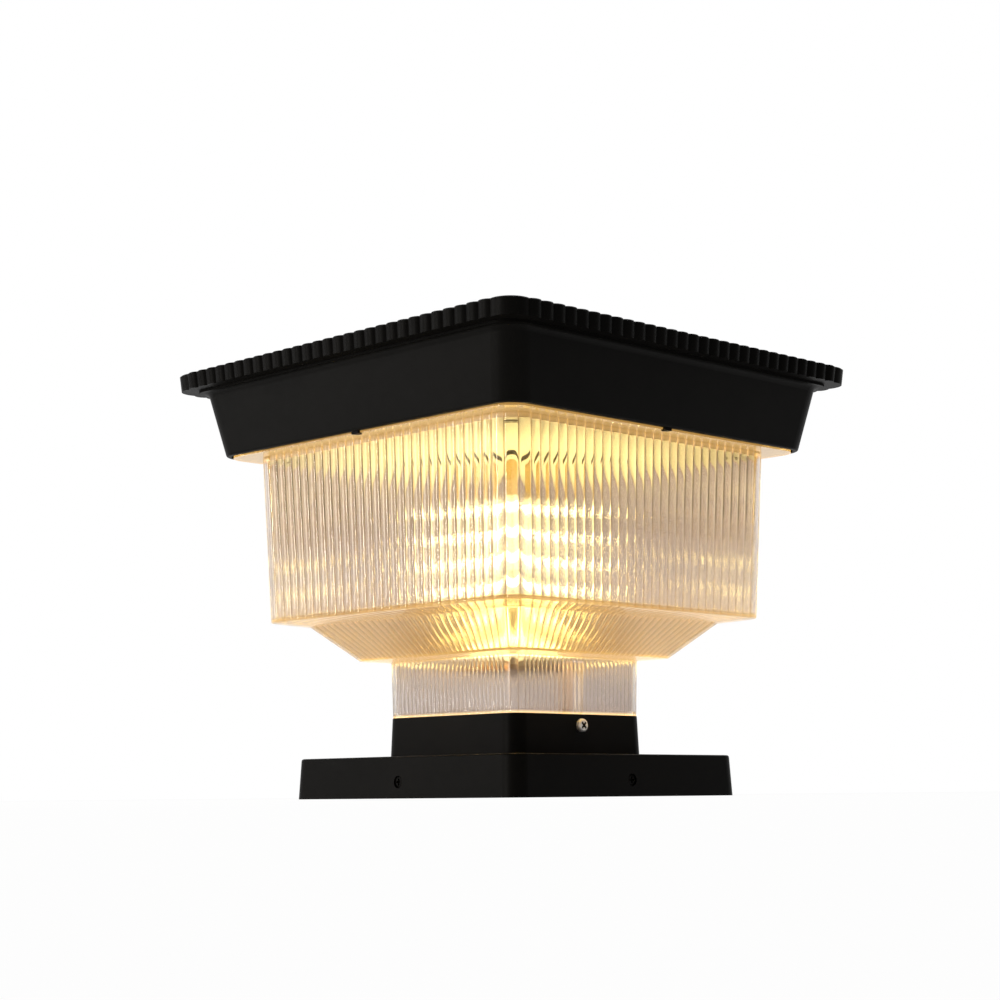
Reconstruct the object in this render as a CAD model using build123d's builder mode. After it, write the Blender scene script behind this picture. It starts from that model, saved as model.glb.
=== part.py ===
from build123d import *
import os

os.makedirs("parts", exist_ok=True)

# Solar light for the top of a square pillar. Millimetres, +Z up.
# The origin is the middle of the base, on the pillar's top.
# The power button is on the +Y side of the cap.

# Heights of the outer forms, from the bottom up
BASE_HEIGHT = 24.0
COLLAR_HEIGHT = 24.0
NECK_HEIGHT = 33.5
NECK_LEDGE_RISE = 1.0
SLOPE_HEIGHT = 21.2
BOX_LEDGE_RISE = 2.6
BOX_HEIGHT = 101.7
FLANGE_THICKNESS = 4.0
FLANGE_SHOW = 1.0
SKIRT_HEIGHT = 39.5
LIP_HEIGHT = 1.5
RIM_HEIGHT = 10.0
RIM_CHAMFER = 0.8

# Sides of the square forms
BASE_SIDE_BOTTOM = 190.4
BASE_SIDE_TOP = 188.1
COLLAR_SIDE_BOTTOM = 111.9
COLLAR_SIDE_TOP = 110.3
NECK_SIDE_BOTTOM = 109.6
NECK_SIDE_TOP = 110.8
SLOPE_SIDE_BOTTOM = 138.4
SLOPE_SIDE_TOP = 184.0
BOX_SIDE_BOTTOM = 218.3
BOX_SIDE_TOP = 226.4
SKIRT_SIDE_BOTTOM = 257.4
SKIRT_SIDE_TOP = 273.6
LIP_SIDE = 282.0
RIM_SIDE_BOTTOM = 298.3
RIM_SIDE_TOP = 300.0

# Corner radii and edge rounds
BASE_CORNER = 10.0
COLLAR_CORNER = 10.0
NECK_CORNER = 9.0
SLOPE_CORNER_BOTTOM = 10.0
SLOPE_CORNER_TOP = 14.0
BOX_CORNER = 15.0
FLANGE_CORNER = 13.0
SKIRT_CORNER = 15.0
LIP_CORNER = 15.0
RIM_CORNER = 14.6
BASE_EDGE_ROUND = 1.5
COLLAR_EDGE_ROUND = 0.6
SKIRT_EDGE_ROUND = 1.5
SKIRT_FILLET = 4.0

# Ribs of the shade and teeth of the rim, counted on one straight side and on one corner
RIBS_PER_SIDE = 27
RIBS_PER_CORNER = 3
BOX_RIB_RISE = 0.9
SLOPE_RIB_RISE = 0.6
NECK_RIB_RISE = 0.5
TEETH_PER_SIDE = 29
TEETH_PER_CORNER = 1
TOOTH_RISE = 2.0

# Walls
BASE_WALL = 2.5
BASE_TOP = 3.0
COLLAR_WALL = 3.0
COLLAR_FLOOR = 4.0
COLLAR_WINDOW = 76.0
SHADE_WALL = 3.0
SPIGOT_WALL = 2.6
SPIGOT_DEPTH = 17.0
FOOT_THICKNESS = 2.6
CAP_WALL = 3.0
DECK_THICKNESS = 3.0
PANEL_POCKET_DEPTH = 5.0
PANEL_POCKET_SIDE = 278.0
PANEL_POCKET_CORNER = 8.0

# Clearances
SPIGOT_CLEARANCE = 0.15
FLANGE_CLEARANCE = 0.6
LUG_CLEARANCE = 0.3
THREAD_CLEARANCE = 0.05
SCREW_CLEARANCE = 0.25
BUTTON_CLEARANCE = 0.05

# Seat of the shade in the cap
GASKET_THICKNESS = 2.0
GASKET_WIDTH = 13.0
SEAT_LEDGE_THICKNESS = 3.0
SEAT_LEDGE_WIDTH = 16.0
SEAT_CORNER = 12.0
HOOK_RADIUS = 3.0
HOOK_THICKNESS = 0.6
HOOK_ROOT = 1.5

# Solar panel in the top of the cap
SEAL_WIDTH = 2.0
BACKSHEET_THICKNESS = 1.0
CELL_THICKNESS = 0.4
CELLS_PER_SIDE = 4
CELL_GAP = 3.0
CELL_MARGIN = 8.0
GLASS_THICKNESS = 3.0
GLASS_EDGE_CHAMFER = 0.5

# Reflector plate, the ceiling over the lamps
REFLECTOR_DROP = 2.5
REFLECTOR_THICKNESS = 2.0
REFLECTOR_RIM_HEIGHT = 7.0
REFLECTOR_RIM_WALL = 1.6
REFLECTOR_CLEARANCE = 0.7
REFLECTOR_SCREW_SPACING = 194.0
CAP_BOSS_RADIUS = 5.0

# Lamp post
POST_SIDE = 36.0
POST_WALL = 2.0
POST_LENGTH = 122.0
POST_CORNER = 3.0
POST_FLANGE_SIDE = 62.0
POST_FLANGE_THICKNESS = 3.0
POST_FLANGE_CORNER = 6.0
POST_SOCKET_DEPTH = 8.0
POST_SOCKET_CLEARANCE = 0.1
POST_SCREW_SPACING = 48.0
POST_WIRE_HOLE = 5.0
END_CAP_SIDE = 41.0
END_CAP_THICKNESS = 3.5
END_CAP_ROUND = 1.2
LED_ROWS = 6
LED_COLUMNS = 3
LED_ROW_PITCH = 16.2
LED_COLUMN_PITCH = 10.5
LED_SIDE = 5.0
LED_HEIGHT = 1.6
LED_BOARD_WIDTH = 31.0
LED_BOARD_THICKNESS = 1.6
LED_BOARD_MARGIN = 7.0
LED_BOARD_END_GAP = 4.0

# Battery and control board on the top of the reflector plate
BATTERY_RADIUS = 9.2
BATTERY_LENGTH = 65.0
BATTERY_COUNT = 4
BATTERY_PITCH = 19.6
BATTERY_CONTACT = 2.5
BATTERY_CONTACT_SIDE = 9.0
BATTERY_CONTACT_CORNER = 2.2
HOLDER_WALL = 2.0
HOLDER_HEIGHT = 15.0
HOLDER_TAB = 9.0
HOLDER_CENTRE_X = -68.0
BATTERY_SEAT_GAP = 0.1
BOARD_LENGTH = 64.0
BOARD_WIDTH = 72.0
BOARD_THICKNESS = 1.6
BOARD_CENTRE_X = 67.0
BOARD_HOLE_INSET = 4.0
STANDOFF_HEIGHT = 6.0
STANDOFF_RADIUS = 3.5
CONNECTOR_WIDTH = 10.0
CONNECTOR_DEPTH = 7.0
CONNECTOR_HEIGHT = 8.0
CONNECTOR_PITCH = 15.0
CONNECTOR_INSET = 7.0
CONNECTOR_COUNT = 4
COIL_SIDE = 15.0
COIL_CORNER = 3.0
CAPACITOR_RADIUS = 5.0
TALL_PART_HEIGHT = 12.0
TALL_PART_X = 12.8
TALL_PART_Y = 14.4
CHIP_LENGTH = 15.0
CHIP_WIDTH = 10.0
CHIP_HEIGHT = 1.6

# Power switch on the +Y side of the cap
SWITCH_RISE = 19.0
SWITCH_PAD_RADIUS = 11.0
SWITCH_PAD_PROUD = 2.6
SWITCH_PAD_INNER = 5.6
SWITCH_BARREL_RADIUS = 6.0
SWITCH_BEZEL_RADIUS = 8.5
SWITCH_BEZEL_HEIGHT = 2.0
SWITCH_BEZEL_CHAMFER = 0.65
SWITCH_SEAL_THICKNESS = 0.8
SWITCH_NUT_THICKNESS = 4.0
SWITCH_NUT_ACROSS_FLATS = 16.0
SWITCH_BODY_LENGTH = 22.0
BUTTON_RADIUS = 4.6
BUTTON_PROUD = 2.2
BUTTON_DEPTH = 6.0
BUTTON_TRAVEL = 1.5
BUTTON_END_GAP = 0.3
BUTTON_EDGE_ROUND = 0.6

# Screws: radius of the shank, radius and height of the head, length under the head
# The cross recess and the round of a pan head are shares of the head's own size
RECESS_LENGTH_SHARE = 1.25
RECESS_WIDTH_SHARE = 0.38
RECESS_DEPTH_SHARE = 0.7
HEAD_ROUND_SHARE = 0.6
M4_RADIUS = 2.0
M4_HEAD_RADIUS = 4.0
M4_HEAD_HEIGHT = 2.6
M35_RADIUS = 1.75
M35_HEAD_RADIUS = 2.7
M35_HEAD_HEIGHT = 0.8
M3_RADIUS = 1.5
M3_HEAD_RADIUS = 2.8
M3_HEAD_HEIGHT = 2.0
COLLAR_SCREW_DROP = 6.5
COLLAR_SCREW_LENGTH = 12.0
COLLAR_SCREW_TURN = 45.0
COLLAR_FIXING_SPACING = 90.0
REFLECTOR_SCREW_LENGTH = 14.0
HOLDER_SCREW_LENGTH = 4.0
BASE_SCREW_HEIGHT = 9.4
BASE_SCREW_HEAD_RADIUS = 3.3
BASE_SCREW_HEAD_HEIGHT = 2.0
BASE_SCREW_SINK = 2.6
BASE_SCREW_HOLE_RADIUS = 3.5
BASE_BOSS_RADIUS = 6.5
BASE_BOSS_DEPTH = 3.0
SPOT_FACE_MARGIN = 0.3
SPOT_FACE_DEPTH = 0.2
NECK_BOSS_WIDTH = 9.0
NECK_BOSS_DEPTH = 8.0
NECK_BOSS_TOP_GAP = 2.0

# Bracket bolted to the pillar
BRACKET_THICKNESS = 2.5
BRACKET_SIDE = 160.0
BRACKET_CORNER = 8.0
BRACKET_WINDOW = 70.0
BRACKET_BOLT_SPACING = 120.0
BRACKET_BOLT_RADIUS = 3.5
LUG_WIDTH = 26.0
LUG_HEIGHT = 17.0
LUG_BEND_ROUND = 2.0

# Wires inside the cap
LEAD_RADIUS = 1.75
LEAD_BEND = 8.0
LEAD_SPACING = 6.0
LEAD_EXIT_DROP = 3.5
LED_LEAD_TAIL = 16.0
SWITCH_LEAD_RUN = 32.0
GROMMET_HOLE_RADIUS = 4.0
GROMMET_FLANGE_RADIUS = 6.0
GROMMET_FLANGE_THICKNESS = 1.5
PANEL_LEAD_X = 64.0
PANEL_LEAD_Y = 50.0

# Levels
COLLAR_Z = BASE_HEIGHT
NECK_Z = COLLAR_Z + COLLAR_HEIGHT
NECK_TOP_Z = NECK_Z + NECK_HEIGHT
SLOPE_Z = NECK_TOP_Z + NECK_LEDGE_RISE
SLOPE_TOP_Z = SLOPE_Z + SLOPE_HEIGHT
BOX_Z = SLOPE_TOP_Z + BOX_LEDGE_RISE
FLANGE_Z = BOX_Z + BOX_HEIGHT
GASKET_Z = FLANGE_Z + FLANGE_THICKNESS
SEAT_Z = GASKET_Z + GASKET_THICKNESS
SKIRT_Z = FLANGE_Z + FLANGE_SHOW
LIP_Z = SKIRT_Z + SKIRT_HEIGHT
RIM_Z = LIP_Z + LIP_HEIGHT
TOP_Z = RIM_Z + RIM_HEIGHT
PANEL_Z = TOP_Z - PANEL_POCKET_DEPTH
DECK_Z = PANEL_Z - DECK_THICKNESS
REFLECTOR_Z = FLANGE_Z - REFLECTOR_DROP
CHASSIS_Z = REFLECTOR_Z + REFLECTOR_THICKNESS
POST_TOP_Z = REFLECTOR_Z - POST_FLANGE_THICKNESS
POST_Z = POST_TOP_Z - POST_LENGTH
LED_BOARD_LENGTH = (LED_ROWS - 1) * LED_ROW_PITCH + 2 * LED_BOARD_MARGIN
LED_BOARD_Z = POST_Z + LED_BOARD_END_GAP
BOARD_Z = CHASSIS_Z + STANDOFF_HEIGHT
SWITCH_Z = SKIRT_Z + SWITCH_RISE
COLLAR_SCREW_Z = NECK_Z - COLLAR_SCREW_DROP
SPIGOT_Z = NECK_Z - SPIGOT_DEPTH


def side_at(z, z_low, side_low, z_high, side_high):
    """Side of a drafted square form at height z."""
    return side_low + (side_high - side_low) * (z - z_low) / (z_high - z_low)


def skirt_side(z):
    """Outer side of the cap's skirt at height z, drawn on past its top."""
    return side_at(z, SKIRT_Z, SKIRT_SIDE_BOTTOM, LIP_Z, SKIRT_SIDE_TOP)


def base_side(z):
    """Outer side of the base cover at height z."""
    return side_at(z, 0, BASE_SIDE_BOTTOM, BASE_HEIGHT, BASE_SIDE_TOP)


def collar_side(z):
    """Outer side of the collar at height z."""
    return side_at(z, COLLAR_Z, COLLAR_SIDE_BOTTOM, NECK_Z, COLLAR_SIDE_TOP)


def side_plane(angle, distance, z):
    """Plane that faces outwards at a distance from the axis, turned by an angle about Z."""
    outward = Vector(1, 0, 0).rotate(Axis.Z, angle)
    return Plane(origin=outward * distance + Vector(0, 0, z), x_dir=outward.rotate(Axis.Z, 90), z_dir=outward)


def draw_scallops(side, corner, rise, per_side, per_corner):
    """Closed row of round ribs along a square with round corners, drawn with arcs."""
    valley = side / 2 - rise
    straight = valley - corner
    pitch = 2 * straight / per_side
    step = 90 / per_corner
    centre = Vector(straight, -straight)
    for quarter in range(4):
        turn = 90 * quarter
        for rib in range(per_side):
            x = -straight + rib * pitch
            start = Vector(x, -valley).rotate(Axis.Z, turn)
            crest = Vector(x + pitch / 2, -valley - rise).rotate(Axis.Z, turn)
            end = Vector(x + pitch, -valley).rotate(Axis.Z, turn)
            ThreePointArc(start, crest, end)
        for rib in range(per_corner):
            angle = -90 + rib * step
            spoke = Vector(1, 0).rotate(Axis.Z, angle)
            start = (centre + spoke * corner).rotate(Axis.Z, turn)
            crest = (centre + spoke.rotate(Axis.Z, step / 2) * (corner + rise)).rotate(Axis.Z, turn)
            end = (centre + spoke.rotate(Axis.Z, step) * corner).rotate(Axis.Z, turn)
            ThreePointArc(start, crest, end)


def inset_profile(profile, wall):
    """The (half side, height) profile moved inwards by a wall, with its ends kept level."""
    normals = []
    for (half_a, z_a), (half_b, z_b) in zip(profile, profile[1:]):
        run = Vector(half_b - half_a, z_b - z_a).normalized()
        normals.append(Vector(run.Y, -run.X))
    inner = [(profile[0][0] + wall / normals[0].X, profile[0][1])]
    for (half, z), before, after in zip(profile[1:], normals, normals[1:]):
        mitre = (before + after) * (wall / (1 + before.dot(after)))
        inner.append((half + mitre.X, z + mitre.Y))
    inner.append((profile[-1][0] + wall / normals[-1].X, profile[-1][1]))
    return inner


def pan_screw(radius, length, head_radius, head_height):
    """Cross-recessed screw with its seat at the origin, its head above and its shank below."""
    recess_length = head_radius * RECESS_LENGTH_SHARE
    recess_width = head_radius * RECESS_WIDTH_SHARE
    with BuildPart() as screw:
        Cylinder(head_radius, head_height, align=(Align.CENTER, Align.CENTER, Align.MIN))
        fillet(screw.edges().sort_by(Axis.Z)[-1], head_height * HEAD_ROUND_SHARE)
        Cylinder(radius, length, align=(Align.CENTER, Align.CENTER, Align.MAX))
        with BuildSketch(Plane.XY.offset(head_height)):
            Rectangle(recess_length, recess_width)
            Rectangle(recess_width, recess_length)
        extrude(amount=-head_height * RECESS_DEPTH_SHARE, mode=Mode.SUBTRACT)
    return screw.part


def lead(points, radii):
    """Round wire along straight runs joined by arcs."""
    first_run = Vector(points[1]) - Vector(points[0])
    with BuildPart() as wire:
        with BuildLine() as route:
            FilletPolyline(*points, radius=radii)
        with BuildSketch(Plane(origin=points[0], z_dir=first_run)):
            Circle(LEAD_RADIUS)
        sweep(path=route.wire())
    return wire.part


SIDES = (0, 90, 180, 270)

# Base cover: drafted square shell, open below, with a sunk screw hole in each side
base_screw_face = base_side(BASE_SCREW_HEIGHT) / 2
base_boss_face = base_screw_face - BASE_WALL - BASE_BOSS_DEPTH
with BuildPart() as base_cover:
    for z in (0, BASE_HEIGHT):
        with BuildSketch(Plane.XY.offset(z)):
            RectangleRounded(base_side(z), base_side(z), BASE_CORNER)
    loft(ruled=True)
    fillet(base_cover.faces().sort_by(Axis.Z)[-1].edges(), BASE_EDGE_ROUND)
    for z in (0, BASE_HEIGHT - BASE_TOP):
        with BuildSketch(Plane.XY.offset(z)):
            inner_side = base_side(z) - 2 * BASE_WALL
            RectangleRounded(inner_side, inner_side, BASE_CORNER - BASE_WALL)
    loft(ruled=True, mode=Mode.SUBTRACT)
    for angle in SIDES:
        with BuildSketch(side_plane(angle, base_boss_face, BASE_SCREW_HEIGHT)):
            Circle(BASE_BOSS_RADIUS)
        extrude(amount=BASE_BOSS_DEPTH + BASE_WALL / 2)
    for angle in SIDES:
        with BuildSketch(side_plane(angle, base_boss_face, BASE_SCREW_HEIGHT)):
            Circle(M4_RADIUS + SCREW_CLEARANCE)
        extrude(amount=BASE_BOSS_DEPTH + 2 * BASE_WALL, mode=Mode.SUBTRACT)
        with BuildSketch(side_plane(angle, base_screw_face - BASE_SCREW_SINK, BASE_SCREW_HEIGHT)):
            Circle(BASE_SCREW_HOLE_RADIUS)
        extrude(amount=BASE_SCREW_SINK + BASE_WALL, mode=Mode.SUBTRACT)
    with Locations((0, 0, BASE_HEIGHT)):
        with GridLocations(COLLAR_FIXING_SPACING, COLLAR_FIXING_SPACING, 2, 2):
            Hole(M4_RADIUS + SCREW_CLEARANCE, depth=2 * BASE_TOP)
base_cover.part.label = "base_cover"
export_step(base_cover.part, "parts/base_cover.step")

# Bracket: flat plate bolted to the pillar, with an upturned tapped lug on each side
lug_face = base_boss_face - LUG_CLEARANCE
with BuildPart() as mounting_bracket:
    with BuildSketch():
        RectangleRounded(BRACKET_SIDE, BRACKET_SIDE, BRACKET_CORNER)
        Rectangle(2 * lug_face, LUG_WIDTH)
        Rectangle(LUG_WIDTH, 2 * lug_face)
        RectangleRounded(BRACKET_WINDOW, BRACKET_WINDOW, BRACKET_CORNER, mode=Mode.SUBTRACT)
        with GridLocations(BRACKET_BOLT_SPACING, BRACKET_BOLT_SPACING, 2, 2):
            Circle(BRACKET_BOLT_RADIUS, mode=Mode.SUBTRACT)
    extrude(amount=BRACKET_THICKNESS)
    for angle in SIDES:
        with BuildSketch(side_plane(angle, lug_face - BRACKET_THICKNESS, LUG_HEIGHT / 2)):
            Rectangle(LUG_WIDTH, LUG_HEIGHT)
        extrude(amount=BRACKET_THICKNESS)
    inner_bends = mounting_bracket.edges().filter_by_position(Axis.Z, BRACKET_THICKNESS, BRACKET_THICKNESS)
    fillet(inner_bends.filter_by(lambda edge: abs(edge.length - LUG_WIDTH) < 1e-3), LUG_BEND_ROUND)
    for angle in SIDES:
        with BuildSketch(side_plane(angle, lug_face, BASE_SCREW_HEIGHT)):
            Circle(M4_RADIUS + THREAD_CLEARANCE)
        extrude(amount=-2 * BRACKET_THICKNESS, mode=Mode.SUBTRACT)
mounting_bracket.part.label = "mounting_bracket"
export_step(mounting_bracket.part, "parts/mounting_bracket.step")

# Screws that hold the base cover to the bracket's lugs
base_screw_seat = base_screw_face - BASE_SCREW_SINK
base_screw_length = base_screw_seat - lug_face + 2 * BRACKET_THICKNESS
base_screw = pan_screw(M4_RADIUS, base_screw_length, BASE_SCREW_HEAD_RADIUS, BASE_SCREW_HEAD_HEIGHT)
with BuildPart() as base_screws:
    with Locations(*[side_plane(angle, base_screw_seat, BASE_SCREW_HEIGHT) for angle in SIDES]):
        add(base_screw)
base_screws.part.label = "base_screws"
export_step(base_screws.part, "parts/base_screws.step")

# Collar: drafted square ring with a floor that is screwed to the base cover
spot_face_top = COLLAR_SCREW_Z + M4_HEAD_RADIUS + SPOT_FACE_MARGIN
collar_screw_seat = collar_side(spot_face_top) / 2 - SPOT_FACE_DEPTH
with BuildPart() as collar:
    for z in (COLLAR_Z, NECK_Z):
        with BuildSketch(Plane.XY.offset(z)):
            RectangleRounded(collar_side(z), collar_side(z), COLLAR_CORNER)
    loft(ruled=True)
    fillet(collar.faces().sort_by(Axis.Z)[-1].edges(), COLLAR_EDGE_ROUND)
    for z in (COLLAR_Z + COLLAR_FLOOR, NECK_Z):
        with BuildSketch(Plane.XY.offset(z)):
            inner_side = collar_side(z) - 2 * COLLAR_WALL
            RectangleRounded(inner_side, inner_side, COLLAR_CORNER - COLLAR_WALL)
    loft(ruled=True, mode=Mode.SUBTRACT)
    with BuildSketch(Plane.XY.offset(COLLAR_Z)):
        RectangleRounded(COLLAR_WINDOW, COLLAR_WINDOW, COLLAR_CORNER)
        with GridLocations(COLLAR_FIXING_SPACING, COLLAR_FIXING_SPACING, 2, 2):
            Circle(M4_RADIUS + THREAD_CLEARANCE)
    extrude(amount=COLLAR_FLOOR, mode=Mode.SUBTRACT)
    for angle in (0, 180):
        with BuildSketch(side_plane(angle, collar_screw_seat, COLLAR_SCREW_Z)):
            Circle(M4_HEAD_RADIUS + SPOT_FACE_MARGIN)
        extrude(amount=COLLAR_WALL, mode=Mode.SUBTRACT)
        with BuildSketch(side_plane(angle, collar_screw_seat, COLLAR_SCREW_Z)):
            Circle(M4_RADIUS + SCREW_CLEARANCE)
        extrude(amount=-2 * COLLAR_WALL, mode=Mode.SUBTRACT)
collar.part.label = "collar"
export_step(collar.part, "parts/collar.step")

# Screws through the base cover's top into the collar's floor
collar_fixing_screw = pan_screw(M4_RADIUS, BASE_TOP + COLLAR_FLOOR, M4_HEAD_RADIUS, M4_HEAD_HEIGHT)
with BuildPart() as collar_fixing_screws:
    with Locations(Plane(origin=(0, 0, BASE_HEIGHT - BASE_TOP), z_dir=(0, 0, -1))):
        with GridLocations(COLLAR_FIXING_SPACING, COLLAR_FIXING_SPACING, 2, 2):
            add(collar_fixing_screw)
collar_fixing_screws.part.label = "collar_fixing_screws"
export_step(collar_fixing_screws.part, "parts/collar_fixing_screws.step")

# Screws through the collar into the shade's spigot
collar_screw = pan_screw(M4_RADIUS, COLLAR_SCREW_LENGTH, M4_HEAD_RADIUS, M4_HEAD_HEIGHT)
with BuildPart() as collar_screws:
    with Locations(*[side_plane(angle, collar_screw_seat, COLLAR_SCREW_Z) for angle in (0, 180)]):
        add(collar_screw, rotation=(0, 0, COLLAR_SCREW_TURN))
collar_screws.part.label = "collar_screws"
export_step(collar_screws.part, "parts/collar_screws.step")

# Shade: one clear moulding. Each section is (side, height, corner, rib rise), from the top down
shade_sections = [
    (BOX_SIDE_TOP, FLANGE_Z, BOX_CORNER, BOX_RIB_RISE),
    (BOX_SIDE_BOTTOM, BOX_Z, BOX_CORNER, BOX_RIB_RISE),
    (SLOPE_SIDE_TOP, SLOPE_TOP_Z, SLOPE_CORNER_TOP, SLOPE_RIB_RISE),
    (SLOPE_SIDE_BOTTOM, SLOPE_Z, SLOPE_CORNER_BOTTOM, SLOPE_RIB_RISE),
    (NECK_SIDE_TOP, NECK_TOP_Z, NECK_CORNER, NECK_RIB_RISE),
    (NECK_SIDE_BOTTOM, NECK_Z, NECK_CORNER, NECK_RIB_RISE),
]
shade_valleys = [(side / 2 - rise, z) for side, z, corner, rise in shade_sections]
shade_inside = inset_profile(shade_valleys, SHADE_WALL)
box_inside_top = shade_inside[0][0]
neck_inside = side_at(NECK_Z + FOOT_THICKNESS, *reversed(shade_inside[5]), *reversed(shade_inside[4]))
flange_side = skirt_side(SKIRT_Z) - 2 * CAP_WALL - 2 * FLANGE_CLEARANCE
spigot_side = collar_side(NECK_Z) - 2 * COLLAR_WALL - 2 * SPIGOT_CLEARANCE
spigot_inside = spigot_side - 2 * SPIGOT_WALL
with BuildPart() as shade:
    for side, z, corner, rise in shade_sections:
        with BuildSketch(Plane.XY.offset(z)):
            with BuildLine():
                draw_scallops(side, corner, rise, RIBS_PER_SIDE, RIBS_PER_CORNER)
            make_face()
    loft(ruled=True)
    for (half, z), (side, outer_z, corner, rise) in zip(shade_inside[:-1], shade_sections):
        with BuildSketch(Plane.XY.offset(z)):
            RectangleRounded(2 * half, 2 * half, corner - SHADE_WALL)
    with BuildSketch(Plane.XY.offset(NECK_Z + FOOT_THICKNESS)):
        RectangleRounded(2 * neck_inside, 2 * neck_inside, NECK_CORNER - SHADE_WALL)
    loft(ruled=True, mode=Mode.SUBTRACT)
    with BuildSketch(Plane.XY.offset(FLANGE_Z)):
        RectangleRounded(flange_side, flange_side, FLANGE_CORNER)
        RectangleRounded(2 * box_inside_top, 2 * box_inside_top, BOX_CORNER - SHADE_WALL, mode=Mode.SUBTRACT)
    extrude(amount=FLANGE_THICKNESS)
    with BuildSketch(Plane.XY.offset(SPIGOT_Z)):
        RectangleRounded(spigot_side, spigot_side, COLLAR_CORNER - COLLAR_WALL)
    extrude(amount=SPIGOT_DEPTH)
    with BuildSketch(Plane.XY.offset(SPIGOT_Z)):
        RectangleRounded(spigot_inside, spigot_inside, COLLAR_CORNER - COLLAR_WALL - SPIGOT_WALL)
    extrude(amount=SPIGOT_DEPTH + FOOT_THICKNESS, mode=Mode.SUBTRACT)
    for angle in (0, 180):
        boss_back = spigot_inside / 2 - NECK_BOSS_DEPTH
        with BuildSketch(side_plane(angle, boss_back, (SPIGOT_Z + NECK_Z) / 2)):
            Rectangle(NECK_BOSS_WIDTH, SPIGOT_DEPTH)
        extrude(amount=NECK_BOSS_DEPTH + SPIGOT_WALL / 2)
        upper_boss_height = NECK_HEIGHT - NECK_BOSS_TOP_GAP
        with BuildSketch(side_plane(angle, boss_back, NECK_Z + upper_boss_height / 2)):
            Rectangle(NECK_BOSS_WIDTH, upper_boss_height)
        extrude(amount=neck_inside + SHADE_WALL / 2 - boss_back)
        with BuildSketch(side_plane(angle, boss_back, COLLAR_SCREW_Z)):
            Circle(M4_RADIUS + THREAD_CLEARANCE)
        extrude(amount=NECK_BOSS_DEPTH + 2 * SPIGOT_WALL, mode=Mode.SUBTRACT)
shade.part.label = "shade"
export_step(shade.part, "parts/shade.step")

# Gasket between the shade's flange and the cap's seat
gasket_inside = skirt_side(SEAT_Z) - 2 * CAP_WALL - 2 * SEAT_LEDGE_WIDTH
with BuildPart() as shade_gasket:
    with BuildSketch(Plane.XY.offset(GASKET_Z)):
        gasket_side = gasket_inside + 2 * GASKET_WIDTH
        RectangleRounded(gasket_side, gasket_side, FLANGE_CORNER)
        RectangleRounded(gasket_inside, gasket_inside, SEAT_CORNER, mode=Mode.SUBTRACT)
    extrude(amount=GASKET_THICKNESS)
shade_gasket.part.label = "shade_gasket"
export_step(shade_gasket.part, "parts/shade_gasket.step")

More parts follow.
